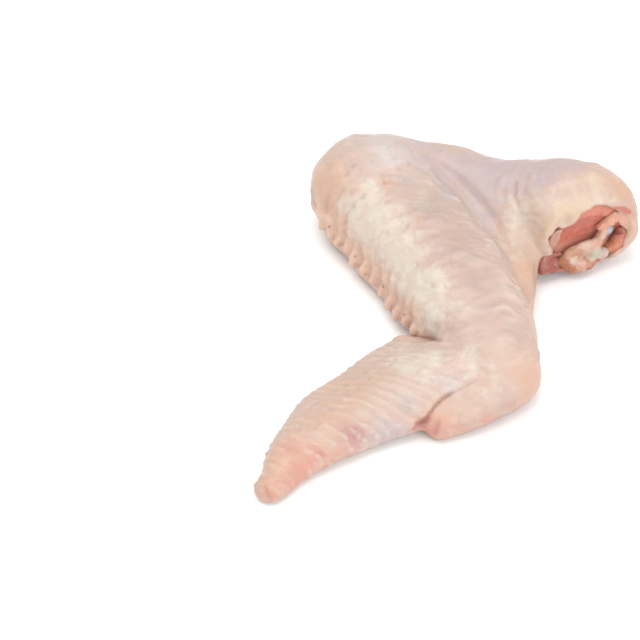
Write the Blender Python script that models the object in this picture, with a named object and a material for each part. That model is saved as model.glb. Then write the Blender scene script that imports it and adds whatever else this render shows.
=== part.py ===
"""Raw chicken wing, whole and uncooked, lying on its inner side in its folded Z shape.

The upper arm runs from the cut shoulder to the elbow, the forearm from the elbow to the
wrist, and the hand from the wrist to the finger tip. Each is a limb with an oval section
strung along a smooth path, and one soft skin runs over them all. The cut shoulder shows
the muscle, the head of the upper arm bone, and a strip of fat and tendon that hangs over
the lower lip of the cut. Muscle and bone both run on inside the upper arm.

Sizes in the tables are millimetres. Every limb lies on the table, so a station gives only
its place seen from above, its half width, its half height and how far it is lifted.
"""

import math

import bmesh
import bpy
import numpy as np
from mathutils import Matrix, Vector, noise

MM = 0.001

# How far the soft flesh settles into the table, and how round that edge is.
SAG = 1.2
TABLE_ROUNDING = 2.2

# The middle of the wing's outline, seen from above, which comes to stand over the origin.
MIDDLE = (-0.4, 1.2)

# Paths of the limbs: x, y, half width, half height, lift.
LIMBS = {
    "upper_arm": [(-21, 47, 12.5, 12.2, 0), (-4, 48.4, 11.5, 11.5, 0), (13, 41.2, 11.8, 11.6, 0),
                  (26, 35.8, 12.6, 13.2, 0), (31, 34.6, 11.5, 12.8, 0)],
    "elbow": [(-23.2, 43.4, 13.6, 13.2, 0), (-19.0, 46.6, 13.6, 13.4, 0)],
    "forearm": [(-21, 44.0, 14.0, 13.4, 0), (-10.5, 28.5, 15.4, 12.4, 0), (-1.5, 9.5, 14.8, 11.4, 0),
                (5, -6, 12.6, 10.0, 0), (7.8, -17.6, 10.4, 9.0, 0)],
    "forearm_edge": [(-25, 38.5, 7.6, 5.2, 1), (-17.6, 22.5, 6.0, 4.4, 0.5), (-8.8, 5.5, 5.6, 4.2, 0.5),
                     (-3.3, -4.5, 5.8, 4.2, 0)],
    "web": [(8, 41, 9.5, 8.0, 2), (13.0, 24, 8.0, 7.0, 0), (13.6, 4, 5.6, 6.0, 0), (12.4, -11, 5.8, 6.6, 0)],
    "hand": [(5, -17.6, 10.2, 7.6, 0), (-8, -24.6, 10.6, 6.4, 0), (-22, -32.8, 9.0, 5.2, 0),
             (-36.8, -43.6, 6.4, 4.4, 0), (-45.2, -55.5, 3.6, 3.4, 0)],
    "hand_edge": [(-10.5, -14.5, 9.4, 4.6, 0), (-23.2, -23.4, 8.8, 3.8, 0), (-35.0, -34.6, 6.7, 3.4, 0),
                  (-42, -46.8, 3.6, 2.9, 0)],
    "thumb": [(11.0, -17.5, 7.4, 7.0, 0), (10.0, -23.4, 6.6, 6.4, 0), (2.2, -29.8, 5.4, 5.2, 0),
              (-6.0, -34.6, 4.1, 4.2, 0)],
    "shoulder": [(35.0, 24.9, 13.4, 8.7, 4.5), (33.5, 32.5, 14.8, 12.9, 1.3)],
}
SHOULDER_TILT = 20.0

# The order in which the skin takes the limbs in, and how softly it bridges each.
SKIN_ORDER = [("upper_arm", 0), ("shoulder", 5), ("elbow", 5), ("web", 6), ("forearm", 3.2),
              ("forearm_edge", 4), ("hand", 2.4), ("hand_edge", 3.5), ("thumb", 1.4)]

# Quill lobes along the trailing edge of the forearm: the edge's path and the lobes' sizes.
LOBE_PATH = [(-32.0, 37.0, 8.4), (-25.0, 25.1, 7.0), (-16.6, 10.4, 6.2), (-9.6, -2.4, 5.8)]
LOBE_COUNT = 12
LOBE_LENGTH = 4.4
LOBE_RADIUS = 2.1
LOBE_LEAN = 0.45
LOBE_INSIDE = 0.7
LOBE_TAPER = 0.75
LOBE_DROOP = 2.2
LOBE_BLEND = 0.8

# The slanting cut through the shoulder: a point on it and the way it faces.
CUT_POINT = (34.0, 24.6, 11.0)
CUT_FACING = (0.33, -0.94, 0.0)
CUT_LEFT_END = -13.6
CUT_WAVE = 0.5
CUT_WAVE_ACROSS = 0.55
CUT_WAVE_UPWARD = 0.4
RIM_ROUNDING = 0.7

# The hollow behind the cut, and the core of muscle that runs on towards the elbow.
HOLLOW = {
    "recess": [(36.8, 19.3, 13.4, 8.4, 4.6), (34.9, 24.9, 12.4, 8.2, 5.4), (34.2, 30.4, 11.6, 8.4, 4.4)],
    "corner": [(28.6, 20.0, 4.2, 3.4, 3.4), (26.2, 22.8, 3.6, 3.2, 3.6), (28.6, 28.0, 3.6, 3.2, 4.6)],
    "core": [(30, 35.0, 7.6, 7.8, 3.6), (15, 41.0, 6.4, 6.4, 3.4), (-4, 46, 5.4, 5.4, 3.4)],
}
HOLLOW_TILT = {"recess": 22.0, "corner": 22.0, "core": 0.0}
HOLLOW_BLEND = 2.4
HOLLOW_FLOOR = 1.5

# Folds of skin and tissue that stand into the hollow: one hangs at its upper left, and the
# wall at its right is thick.
FOLDS = {
    "curtain": [(23.6, 22.0, 1.6, 1.4, 15.5), (25.0, 22.5, 2.2, 2.4, 17.4), (26.9, 23.1, 2.4, 2.9, 16.9),
                (28.4, 23.6, 2.4, 2.9, 17.6), (29.9, 24.2, 2.4, 2.6, 19.8), (32.2, 25.0, 2.0, 1.7, 21.2)],
    "right_high": [(45.9, 30.1, 1.4, 1.2, 14.4), (46.1, 30.2, 2.0, 1.8, 11.6), (46.5, 30.3, 2.2, 2.0, 7.8)],
    "right_low": [(46.5, 30.3, 2.2, 2.0, 7.8), (45.3, 29.8, 2.2, 2.0, 4.2), (42.2, 28.7, 2.0, 1.6, 2.5)],
}
FOLD_BLEND = 1.0

# The muscle's face lies back from the rim, with three dips in it: depth, place across the cut,
# place above its middle, half width and half height.
FACE_DEPTH = 1.4
FACE_DIPS = {
    "bowl": (1.4, -2.5, -1.0, 7.5, 6.0),
    "pit": (1.0, 3.0, -1.6, 1.9, 2.6),
    "right": (2.2, 9.0, -3.0, 3.2, 4.0),
}

# The blocks that clear the space in front of the cut: width, lowest and highest point, thickness.
BLOCK_WIDTH = 44.0
BLOCK_HEIGHTS = (-12.0, 34.0)
BLOCK_THICKNESS = 40.0
BLOCK_GRID = (37, 31)
MUSCLE_BLOCK_LEFT = -22.0

# Humerus: its head of cartilage at the cut, then the shaft.
BONE = [(38.9, 31.0, 2.7, 2.7, 8.9), (36.7, 34.4, 2.7, 2.7, 9.1), (29, 37.6, 2.4, 2.4, 9.4),
        (4, 44.4, 2.2, 2.2, 8.4)]

# Pale fat and tendon: a strip from the upper right of the cut, then lobes over the lower lip.
TENDON = {
    "strip": [(41.5, 28.3, 1.2, 2.1, 14.9), (39.0, 27.5, 1.2, 1.5, 14.2), (36.8, 26.8, 1.0, 0.8, 13.6)],
    "tendon": [(38.2, 27.5, 1.1, 1.1, 12.1), (37.6, 27.0, 1.2, 1.4, 9.9), (36.5, 26.4, 1.3, 1.9, 6.9)],
    "band": [(36.5, 26.4, 1.3, 1.9, 6.9), (33.8, 25.4, 1.3, 2.2, 7.1), (31.4, 24.3, 1.4, 2.3, 6.2),
             (29.4, 23.6, 1.3, 2.3, 5.5)],
    "right_lobe": [(36.1, 25.8, 1.7, 2.7, 4.0), (38.9, 26.9, 1.4, 1.6, 4.7)],
    "left_lobe": [(27.9, 23.3, 1.2, 2.0, 5.0), (30.1, 23.4, 1.7, 2.3, 3.0)],
    "bottom_lobe": [(30.7, 23.4, 1.8, 1.9, 2.8), (32.8, 23.8, 1.9, 2.1, 2.6), (35.0, 24.9, 1.7, 1.9, 2.6)],
}
TENDON_BLEND = 0.8
TENDON_ROUNDING = 0.2

# A lump of darker fat in the pocket at the right of the cut, between the bone and the skin.
POCKET_FAT = [(40.8, 29.2, 1.6, 1.6, 4.7), (42.6, 29.9, 1.9, 2.4, 5.0), (43.5, 30.7, 1.7, 2.5, 7.2),
              (43.4, 31.1, 1.4, 1.8, 9.5)]
POCKET_GAP = 0.8

# Clear space between touching solids.
GAP = 0.5
LIP_GAP = 1.65
POCKET_LIP_GAP = 1.1
ROOM_GAP = 0.8

# Creases pressed into the skin: a path near the surface, depth and width.
CREASES = {
    "wrist": ([(-11.0, -5.6, 5), (-8.2, -9.6, 7), (-4.5, -18.0, 12), (2.2, -20.8, 15)], 1.1, 1.1),
    "knuckle": ([(1.8, -25.9, 12), (4.8, -26.3, 12), (7.8, -26.8, 11)], 0.5, 0.9),
    "thumb": ([(-10.8, -38.0, 5), (-8.8, -35.4, 7), (-2.8, -31.9, 9), (3.1, -28.9, 10)], 1.6, 1.1),
    "valley": ([(-7.9, 48.7, 22), (1.6, 39.2, 19), (9.3, 29.2, 15), (13.9, 14.3, 12), (17, -3, 11)], 0.7, 1.2),
    "fold left": ([(13.1, 33.6, 20), (12.8, 29.8, 17)], 0.4, 0.8),
    "fold middle": ([(15.6, 33.8, 21), (15.4, 29.2, 18)], 0.5, 0.8),
    "fold right": ([(17.2, 34.0, 21), (17.2, 28.6, 19)], 0.4, 0.7),
    "back": ([(-31, 52, 6), (-12, 60, 7), (8, 55, 7), (24, 49, 6)], 0.9, 1.5),
    "elbow high": ([(-34, 52, 17), (-37, 44, 14), (-35, 36, 11)], 0.6, 1.1),
    "elbow low": ([(-31, 56, 12), (-37, 49, 10), (-38, 42, 8)], 0.6, 1.1),
    "back end": ([(36, 48, 8), (42, 44, 9), (48, 36, 9)], 0.6, 1.2),
    "web": ([(19, 20, 7), (20, 6, 7), (19, -6, 6)], 0.6, 1.1),
}

# Swellings of the flesh under the skin, broad and small: height and length.
SWELLS = [(0.8, 13.0), (0.35, 5.0)]
SKIN_DEPTH = 0.8
SEED = 11

FINE_VOXEL = 1.0
SMALL_VOXEL = 0.8
FAT_VOXEL = 0.45
POCKET_VOXEL = 0.5
REDRAWS = 3
RELAX = 0.6
RELAX_ROUNDS = 5
WING_TRIANGLES = 10040
CORE_TRIANGLES = 900
BONE_TRIANGLES = 420
FOLD_TRIANGLES = 200
TENDON_TRIANGLES = 1100
POCKET_TRIANGLES = 240

SKIN_COLOUR = (0.82, 0.58, 0.46)
MUSCLE_COLOUR = (0.50, 0.12, 0.09)
BONE_COLOUR = (0.72, 0.70, 0.74)
TENDON_COLOUR = (0.80, 0.50, 0.36)
POCKET_COLOUR = (0.60, 0.25, 0.12)


def spline(points, count):
    """Points along a smooth path through a few given ones."""
    given = np.asarray(points, float)
    last = len(given) - 1
    padded = np.vstack([2 * given[0] - given[1], given, 2 * given[-1] - given[-2]])
    place = np.linspace(0, last, count)
    step = np.minimum(place.astype(int), last - 1)
    part = (place - step)[:, None]
    before, start, end, after = (padded[step + shift] for shift in range(4))
    return 0.5 * (2 * start + (end - before) * part
                  + (2 * before - 5 * start + 4 * end - after) * part ** 2
                  + (3 * start - before - 3 * end + after) * part ** 3)


def unit(vectors):
    """Vectors scaled to length one."""
    return vectors / np.linalg.norm(vectors, axis=-1, keepdims=True)


def smooth_union(first, second, radius):
    """Two distance fields joined with a soft fillet."""
    if radius == 0:
        return np.minimum(first, second)
    share = np.clip(0.5 + 0.5 * (second - first) / radius, 0, 1)
    return second * (1 - share) + first * share - radius * share * (1 - share)


def smooth_cut(first, second, radius):
    """What two distance fields have in common, with its edge rounded."""
    return -smooth_union(-first, -second, radius)


class Limb:
    """A round limb: oval sections strung along a smooth centre line."""

    SAMPLES = 26

    def __init__(self, stations, tilt=0.0):
        rows = spline(stations, self.SAMPLES)
        self.half_width = rows[:, 2]
        self.half_height = rows[:, 3]
        height = rows[:, 3] + rows[:, 4] - SAG
        self.centre = np.column_stack([rows[:, 0], rows[:, 1], height])
        self.along = unit(np.gradient(self.centre, axis=0))
        level = unit(np.cross(self.along, (0, 0, 1)))
        upright = np.cross(level, self.along)
        turn = math.radians(tilt)
        self.side = level * math.cos(turn) + upright * math.sin(turn)
        self.up = upright * math.cos(turn) - level * math.sin(turn)

    def distance(self, points):
        """Distance of points from the limb's surface, less than zero inside it."""
        spread = (self.centre ** 2).sum(1) - 2 * points @ self.centre.T
        nearest = spread.argmin(1)
        found = np.full(len(points), np.inf)
        for shift in (-1, 0):
            first = np.clip(nearest + shift, 0, self.SAMPLES - 2)
            found = np.minimum(found, self.section_distance(points, first))
        return found

    def section_distance(self, points, first):
        """Distance from the limb's stretch that starts at each point's own sample."""
        start = self.centre[first]
        run = self.centre[first + 1] - start
        share = ((points - start) * run).sum(1) / (run ** 2).sum(1)
        share = np.clip(share, 0, 1)[:, None]

        def between(values):
            rows = values.reshape(self.SAMPLES, -1)
            return rows[first] * (1 - share) + rows[first + 1] * share

        offset = points - between(self.centre)
        wide, high = between(self.half_width)[:, 0], between(self.half_height)[:, 0]
        radii = np.column_stack([wide, high, np.minimum(wide, high)])
        axes = (between(self.side), between(self.up), between(self.along))
        local = np.column_stack([(offset * axis).sum(1) for axis in axes])
        reach = np.linalg.norm(local / radii, axis=1)
        slope = np.linalg.norm(local / radii ** 2, axis=1)
        return reach * (reach - 1) / np.maximum(slope, 1e-6)

    def loft(self, shell, sides=20):
        """Add the limb to a mesh as a skinned row of oval rings with domed ends."""
        dome = (0.35, 0.75, 1.15)
        ends = [(0, -angle) for angle in reversed(dome)]
        middle = [(sample, 0.0) for sample in range(self.SAMPLES)]
        rings = []
        for sample, angle in ends + middle + [(self.SAMPLES - 1, angle) for angle in dome]:
            wide, high = self.half_width[sample], self.half_height[sample]
            centre = self.centre[sample] + self.along[sample] * min(wide, high) * math.sin(angle)
            side = self.side[sample] * wide * math.cos(angle)
            up = self.up[sample] * high * math.cos(angle)
            turn = [2 * math.pi * step / sides for step in range(sides)]
            rings.append([shell.verts.new((centre + side * math.cos(t) + up * math.sin(t)) * MM)
                          for t in turn])
        for ring, following in zip(rings, rings[1:]):
            for step in range(sides):
                beside = (step + 1) % sides
                shell.faces.new((ring[step], ring[beside], following[beside], following[step]))
        shell.faces.new(list(reversed(rings[0])))
        shell.faces.new(rings[-1])


SKIN = {name: Limb(stations, -SHOULDER_TILT if name == "shoulder" else 0.0)
        for name, stations in LIMBS.items()}
HOLLOW_LIMBS = {name: Limb(stations, -HOLLOW_TILT[name]) for name, stations in HOLLOW.items()}
TENDON_LIMBS = {name: Limb(stations) for name, stations in TENDON.items()}
FOLD_LIMBS = {name: Limb(stations) for name, stations in FOLDS.items()}
BONE_LIMB = Limb(BONE)
POCKET_LIMB = Limb(POCKET_FAT)


def quill_lobes():
    """The lobes of skin round the quill roots, each a short limb that points off the edge."""
    random = np.random.default_rng(SEED)
    path = spline(LOBE_PATH, LOBE_COUNT)
    along = unit(np.gradient(path, axis=0))
    outward = unit(along * LOBE_LEAN - np.cross((0, 0, 1), along))
    lobes = []
    for place, out in zip(path, outward):
        radius = LOBE_RADIUS * random.uniform(0.8, 1.2)
        reach = LOBE_LENGTH * random.uniform(0.8, 1.2)
        root = place - out * reach * LOBE_INSIDE
        tip = root + out * reach
        root_lift = place[2] - radius + SAG + LOBE_DROOP
        root_station = (root[0], root[1], radius, radius, root_lift)
        tip_station = (tip[0], tip[1], radius * LOBE_TAPER, radius * LOBE_TAPER, root_lift - LOBE_DROOP)
        lobes.append(Limb([root_station, tip_station]))
    return lobes


LOBES = quill_lobes()


def flesh(points):
    """The whole wing before the cut: every limb under one skin, flattened by the table."""
    field = None
    for name, radius in SKIN_ORDER:
        limb = SKIN[name].distance(points)
        field = limb if field is None else smooth_union(field, limb, radius)
    return smooth_cut(field, -points[:, 2], TABLE_ROUNDING)


def flesh_with_lobes(points):
    """The wing with the quill lobes on the forearm's trailing edge."""
    field = flesh(points)
    for lobe in LOBES:
        close = np.linalg.norm(points - lobe.centre.mean(0), axis=1) < 4 * LOBE_LENGTH
        field[close] = smooth_union(field[close], lobe.distance(points[close]), LOBE_BLEND)
    return smooth_cut(field, -points[:, 2], 0)


def open_hollow(points):
    """The hollow that the cut opens, with the tunnel of the muscle behind it."""
    field = None
    for limb in HOLLOW_LIMBS.values():
        piece = limb.distance(points)
        field = piece if field is None else smooth_union(field, piece, HOLLOW_BLEND)
    return smooth_cut(field, HOLLOW_FLOOR - points[:, 2], 1.0)


def hollow(points):
    """The hollow, less the folds that stand into it."""
    field = open_hollow(points)
    for fold in FOLD_LIMBS.values():
        field = smooth_cut(field, -fold.distance(points), FOLD_BLEND)
    return field


def bone(points):
    """The humerus."""
    return BONE_LIMB.distance(points)


CUT_NORMAL = unit(np.array(CUT_FACING))
CUT_ACROSS = unit(np.cross((0, 0, 1), CUT_NORMAL))


def ahead_of_cut(points):
    """How far points lie in front of the plane of the cut."""
    return (points - np.array(CUT_POINT)) @ CUT_NORMAL


def cut_wave(across, height):
    """The gentle wave of the cut through the skin."""
    return CUT_WAVE * np.sin(CUT_WAVE_ACROSS * across) * np.cos(CUT_WAVE_UPWARD * height)


def face_depth(across, height):
    """How far back the muscle's face lies from the plane of the cut."""
    depth = FACE_DEPTH
    for dip, middle_across, middle_height, half_width, half_height in FACE_DIPS.values():
        aside = (across - middle_across) / half_width
        above = (height - middle_height) / half_height
        depth = depth + dip * np.exp(-aside ** 2 - above ** 2)
    return depth


def carved(points):
    """The wing as cut: without what lies in front of the cut, nor the hollow behind it."""
    away = (points - np.array(CUT_POINT)) @ CUT_ACROSS
    wave = cut_wave(away, points[:, 2] - CUT_POINT[2])
    kept = smooth_union(ahead_of_cut(points) - wave, away - CUT_LEFT_END, RIM_ROUNDING)
    body = smooth_cut(flesh_with_lobes(points), kept, RIM_ROUNDING)
    return smooth_cut(body, -hollow(points), RIM_ROUNDING)


def ahead_of_muscle(points):
    """How far points lie in front of the muscle's face."""
    across = (points - np.array(CUT_POINT)) @ CUT_ACROSS
    return ahead_of_cut(points) + face_depth(across, points[:, 2] - CUT_POINT[2])


def tendon(points):
    """Pale fat and tendon in front of the muscle, clear of the skin, the muscle and the bone."""
    field = None
    for limb in TENDON_LIMBS.values():
        piece = limb.distance(points)
        field = piece if field is None else smooth_union(field, piece, TENDON_BLEND)
    return smooth_cut(clear_of_neighbours(field, points, LIP_GAP), -points[:, 2], 0)


def clear_of_neighbours(field, points, lip_gap):
    """A field of fat, kept clear of the skin, the muscle and the bone."""
    room = smooth_union(hollow(points), CUT_WAVE - ahead_of_cut(points), 0)
    field = smooth_cut(field, room + lip_gap, TENDON_ROUNDING)
    field = smooth_cut(field, GAP - ahead_of_muscle(points), TENDON_ROUNDING)
    return smooth_cut(field, GAP - bone(points), TENDON_ROUNDING)


def pocket_fat(points):
    """The darker fat in the pocket, clear of the strip of tendon too."""
    field = clear_of_neighbours(POCKET_LIMB.distance(points), points, POCKET_LIP_GAP)
    return smooth_cut(field, POCKET_GAP - tendon(points), TENDON_ROUNDING)


def slope(field, points):
    """Gradient of a field, by small steps along each axis."""
    here = field(points)
    step = 0.05
    rows = [(field(points + step * axis) - here) / step for axis in np.eye(3)]
    return here, np.column_stack(rows)


def settle(field, points, rounds):
    """Move points onto the surface where a field is zero."""
    for _ in range(rounds):
        value, gradient = slope(field, points)
        move = (value / np.maximum((gradient ** 2).sum(1), 0.05))[:, None] * gradient
        length = np.linalg.norm(move, axis=1, keepdims=True)
        points = points - move * np.minimum(1, 3.0 / np.maximum(length, 1e-9))
    return points


def path_distance(points, line):
    """Distance from a line of points, and how far along it the nearest bit is."""
    nearest = np.full(len(points), np.inf)
    share = np.zeros(len(points))
    for index, (start, end) in enumerate(zip(line, line[1:])):
        run = end - start
        part = np.clip(((points - start) @ run) / (run @ run), 0, 1)
        away = np.linalg.norm(points - start - part[:, None] * run, axis=1)
        closer = away < nearest
        nearest[closer] = away[closer]
        share[closer] = (index + part[closer]) / (len(line) - 1)
    return nearest, share


def relief(points):
    """How far the outer skin rises at each point: the swellings, less the creases."""
    rise = np.zeros(len(points))
    for height, length in SWELLS:
        rise += height * np.array([noise.noise(Vector(point) / length) for point in points])
    for path, depth, width in CREASES.values():
        line = settle(flesh, spline(path, 24), 4)
        away, share = path_distance(points, line)
        fade = np.clip(np.sin(np.pi * share) * 2.2, 0, 1)
        rise -= depth * fade * np.exp(-(away / width) ** 2)
    outer = np.clip(1 + flesh(points) / SKIN_DEPTH, 0, 1)
    return rise * outer * np.clip(points[:, 2] / 3.0, 0, 1)


def read_points(mesh):
    """A mesh's corners as an array in millimetres."""
    flat = np.empty(len(mesh.vertices) * 3, np.float32)
    mesh.vertices.foreach_get("co", flat)
    return flat.reshape(-1, 3).astype(float) / MM


def write_points(mesh, points):
    """Put an array in millimetres back into a mesh."""
    mesh.vertices.foreach_set("co", (points * MM).astype(np.float32).ravel())
    mesh.update()


def add_object(name, mesh, material=None):
    """A new object in the scene, with its material."""
    thing = bpy.data.objects.new(name, mesh)
    bpy.context.scene.collection.objects.link(thing)
    if material:
        mesh.materials.append(material)
    return thing


def bake_modifiers(thing):
    """Replace an object's mesh by the one its modifiers make."""
    graph = bpy.context.evaluated_depsgraph_get()
    baked = bpy.data.meshes.new_from_object(thing.evaluated_get(graph))
    thing.modifiers.clear()
    thing.data = baked


def grow(name, limbs, field, voxel, material):
    """A closed solid grown from a field: the limbs are lofted, joined and drawn onto it."""
    shell = bmesh.new()
    for limb in limbs:
        limb.loft(shell)
    bmesh.ops.recalc_face_normals(shell, faces=shell.faces)
    mesh = bpy.data.meshes.new(name)
    shell.to_mesh(mesh)
    shell.free()
    thing = add_object(name, mesh, material)
    draw_onto(thing, field, voxel)
    return thing


def draw_onto(thing, field, voxel):
    """Give a solid an even mesh and draw it onto the surface where a field is zero."""
    remesh = thing.modifiers.new("one skin", "REMESH")
    remesh.mode = "VOXEL"
    remesh.voxel_size = voxel * MM
    bake_modifiers(thing)
    write_points(thing.data, settle(field, read_points(thing.data), 4))


def smooth_out(thing, field, voxel):
    """Draw a solid onto its field again and again, so that no fold is left in its mesh."""
    for _ in range(REDRAWS):
        draw_onto(thing, field, voxel)
        relax = thing.modifiers.new("even", "SMOOTH")
        relax.factor = RELAX
        relax.iterations = RELAX_ROUNDS
        bake_modifiers(thing)


def thin_out(thing, triangles):
    """Bring a solid down to about a number of triangles, fewest where it is flat."""
    counted = sum(len(face.vertices) - 2 for face in thing.data.polygons)
    thin = thing.modifiers.new("fewer triangles", "DECIMATE")
    thin.ratio = min(1.0, triangles / counted)
    bake_modifiers(thing)


def cut_away(thing, cutter):
    """Take one solid out of another, by the solver that keeps this many folds closed."""
    cut = thing.modifiers.new("cut", "BOOLEAN")
    cut.operation = "DIFFERENCE"
    cut.solver = "MANIFOLD"
    cut.object = cutter
    bake_modifiers(thing)
    bpy.data.objects.remove(cutter)


def front_block(name, left, surface):
    """A block that fills the space in front of the cut, with its back face shaped by a function."""
    columns, rows = BLOCK_GRID
    across = np.linspace(left, left + BLOCK_WIDTH, columns)
    upward = np.linspace(*BLOCK_HEIGHTS, rows)
    block = bmesh.new()
    layers = []
    for ahead in (0.0, BLOCK_THICKNESS):
        layer = []
        for up in upward:
            shift = ahead + surface(across, up - CUT_POINT[2])
            places = np.array(CUT_POINT) + np.outer(across, CUT_ACROSS) + np.outer(shift, CUT_NORMAL)
            layer.append([block.verts.new((x * MM, y * MM, up * MM)) for x, y, _ in places])
        layers.append(layer)
        for low, high in zip(layer, layer[1:]):
            for column in range(columns - 1):
                block.faces.new((low[column], low[column + 1], high[column + 1], high[column]))
    rims = []
    for layer in layers:
        left_side = [line[0] for line in layer]
        right_side = [line[-1] for line in layer]
        rims.append(layer[0][:-1] + right_side[:-1] + layer[-1][:0:-1] + left_side[:0:-1])
    for step in range(len(rims[0])):
        beside = (step + 1) % len(rims[0])
        block.faces.new((rims[0][step], rims[0][beside], rims[1][beside], rims[1][step]))
    bmesh.ops.recalc_face_normals(block, faces=block.faces)
    mesh = bpy.data.meshes.new(name)
    block.to_mesh(mesh)
    block.free()
    return add_object(name, mesh)


def make_material(name, colour, roughness):
    """A plain material of one colour."""
    material = bpy.data.materials.new(name)
    material.use_nodes = True
    shader = material.node_tree.nodes["Principled BSDF"]
    shader.inputs["Base Color"].default_value = (*colour, 1.0)
    shader.inputs["Roughness"].default_value = roughness
    shader.inputs["Metallic"].default_value = 0.0
    return material


def make_wing():
    """The body of the wing under its skin, cut open at the shoulder."""
    limbs = list(SKIN.values()) + LOBES
    skin = make_material("skin", SKIN_COLOUR, 0.5)
    wing = grow("wing", limbs, flesh_with_lobes, FINE_VOXEL, skin)
    cut_away(wing, front_block("front", CUT_LEFT_END, cut_wave))
    socket = grow("socket", HOLLOW_LIMBS.values(), open_hollow, FINE_VOXEL, None)
    for name, fold in FOLD_LIMBS.items():
        cut_away(socket, grow(name, [fold], fold.distance, FINE_VOXEL, None))
    cut_away(wing, socket)
    draw_onto(wing, carved, FINE_VOXEL)
    points = read_points(wing.data)
    points = points + unit(slope(carved, points)[1]) * relief(points)[:, None]
    points[:, 2] = np.maximum(points[:, 2], 0)
    write_points(wing.data, points)
    thin_out(wing, WING_TRIANGLES)
    return wing


def make_muscle():
    """The muscle of the upper arm, from its face at the cut to near the elbow."""
    meat = make_material("raw meat", MUSCLE_COLOUR, 0.4)

    def inside(points):
        return open_hollow(points) + GAP

    def face(across, height):
        return -face_depth(across, height)

    muscle_solid = grow("shoulder_muscle", HOLLOW_LIMBS.values(), inside, FINE_VOXEL, meat)
    thin_out(muscle_solid, CORE_TRIANGLES)
    cut_away(muscle_solid, front_block("muscle_front", MUSCLE_BLOCK_LEFT, face))
    clear_limb(muscle_solid, "bone_tunnel", BONE_LIMB, BONE_TRIANGLES)
    for name, fold in FOLD_LIMBS.items():
        clear_limb(muscle_solid, name, fold, FOLD_TRIANGLES)
    return muscle_solid


def clear_limb(solid, name, limb, triangles):
    """Clear a solid from round a limb, with a gap."""
    def room(points):
        return limb.distance(points) - ROOM_GAP

    cutter = grow(name, [limb], room, SMALL_VOXEL, None)
    thin_out(cutter, triangles)
    cut_away(solid, cutter)


def make_bone():
    """The humerus, whose head of cartilage shows in the cut."""
    pearl = make_material("cartilage", BONE_COLOUR, 0.3)
    bone_solid = grow("humerus", [BONE_LIMB], bone, SMALL_VOXEL, pearl)
    thin_out(bone_solid, BONE_TRIANGLES)
    return bone_solid


def make_tendon():
    """The pale strip and lobes over the lower lip of the cut."""
    fat = make_material("fat", TENDON_COLOUR, 0.45)
    tendon_solid = grow("fat_and_tendon", TENDON_LIMBS.values(), tendon, FAT_VOXEL, fat)
    smooth_out(tendon_solid, tendon, FAT_VOXEL)
    thin_out(tendon_solid, TENDON_TRIANGLES)
    return tendon_solid


def make_pocket_fat():
    """The lump of darker fat in the pocket at the right of the cut."""
    fat = make_material("darker fat", POCKET_COLOUR, 0.4)
    lump = grow("pocket_fat", [POCKET_LIMB], pocket_fat, POCKET_VOXEL, fat)
    smooth_out(lump, pocket_fat, POCKET_VOXEL)
    thin_out(lump, POCKET_TRIANGLES)
    return lump


def main():
    """Empty the scene and build the five solids."""
    for thing in list(bpy.data.objects):
        bpy.data.objects.remove(thing)
    to_origin = Matrix.Translation((-MIDDLE[0] * MM, -MIDDLE[1] * MM, 0))
    for solid in (make_wing(), make_muscle(), make_bone(), make_tendon(), make_pocket_fat()):
        solid.data.transform(to_origin)
        solid.data.shade_smooth()


main()
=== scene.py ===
"""Looks of a raw chicken wing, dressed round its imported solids.

The skin, the shoulder muscle, the head of the bone, the strip of fat and the darker fat in
the pocket each get a fine mesh drawn onto the same limbs and hollows as the solids, with
the wrinkles, follicle pits and quill lobes of real skin, and a procedural finish. Places
and sizes are millimetres in the solids' own tables until a mesh is finished.
"""

import logging
import math
from collections.abc import Callable, Iterable, Sequence
from dataclasses import dataclass
from enum import Enum
from functools import reduce
from typing import Any

import bmesh
import bpy
import numpy as np
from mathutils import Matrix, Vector, noise


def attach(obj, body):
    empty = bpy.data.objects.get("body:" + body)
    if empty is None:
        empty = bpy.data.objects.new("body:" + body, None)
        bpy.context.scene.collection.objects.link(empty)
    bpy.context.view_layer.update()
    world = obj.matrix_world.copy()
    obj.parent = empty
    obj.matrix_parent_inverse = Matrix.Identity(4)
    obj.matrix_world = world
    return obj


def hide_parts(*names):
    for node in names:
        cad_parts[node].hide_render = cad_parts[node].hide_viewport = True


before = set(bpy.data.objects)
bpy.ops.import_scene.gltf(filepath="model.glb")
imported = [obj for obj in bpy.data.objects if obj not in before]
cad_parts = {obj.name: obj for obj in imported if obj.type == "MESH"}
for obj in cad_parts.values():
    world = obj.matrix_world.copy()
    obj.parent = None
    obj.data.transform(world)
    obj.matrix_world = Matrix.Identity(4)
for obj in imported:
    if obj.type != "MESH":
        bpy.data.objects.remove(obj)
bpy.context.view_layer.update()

LOG = logging.getLogger("chicken wing")

MM = 0.001
BODY = "root"

# The middle of the wing's outline in the tables, which stands over the origin.
MIDDLE = np.array((-0.4, 1.2, 0.0))

Points = np.ndarray
Values = np.ndarray
Field = Callable[[Points], Values]
Stations = tuple[tuple[float, ...], ...]
Place = tuple[float, float, float]
Picked = tuple[int, int, int]
Piece = bpy.types.Object
Material = bpy.types.Material
Tree = bpy.types.NodeTree
Node = bpy.types.Node
Socket = bpy.types.NodeSocket

UP = (0, 0, 1)

# How sharply the cells of noise stand apart, what turns their facets, and the seed that keeps
# those turns the same in every run.
CELL_CONTRAST = 1.6
FACET_TURNS = 7.3
FACET_SEED = 7

# How points settle on a field: the step that its slope is read over, the least slope that is
# trusted, the longest move, and how many moves are made.
SLOPE_STEP = 0.05
LEAST_SLOPE = 0.05
LONGEST_MOVE = 3.0
SETTLE_ROUNDS = 4

# How points fall onto a shape: where they start, the share of the way that is taken each time,
# and how many times.
FALL_HEIGHT = 34.0
FALL_SHARE = 0.8
FALL_ROUNDS = 30

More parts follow.
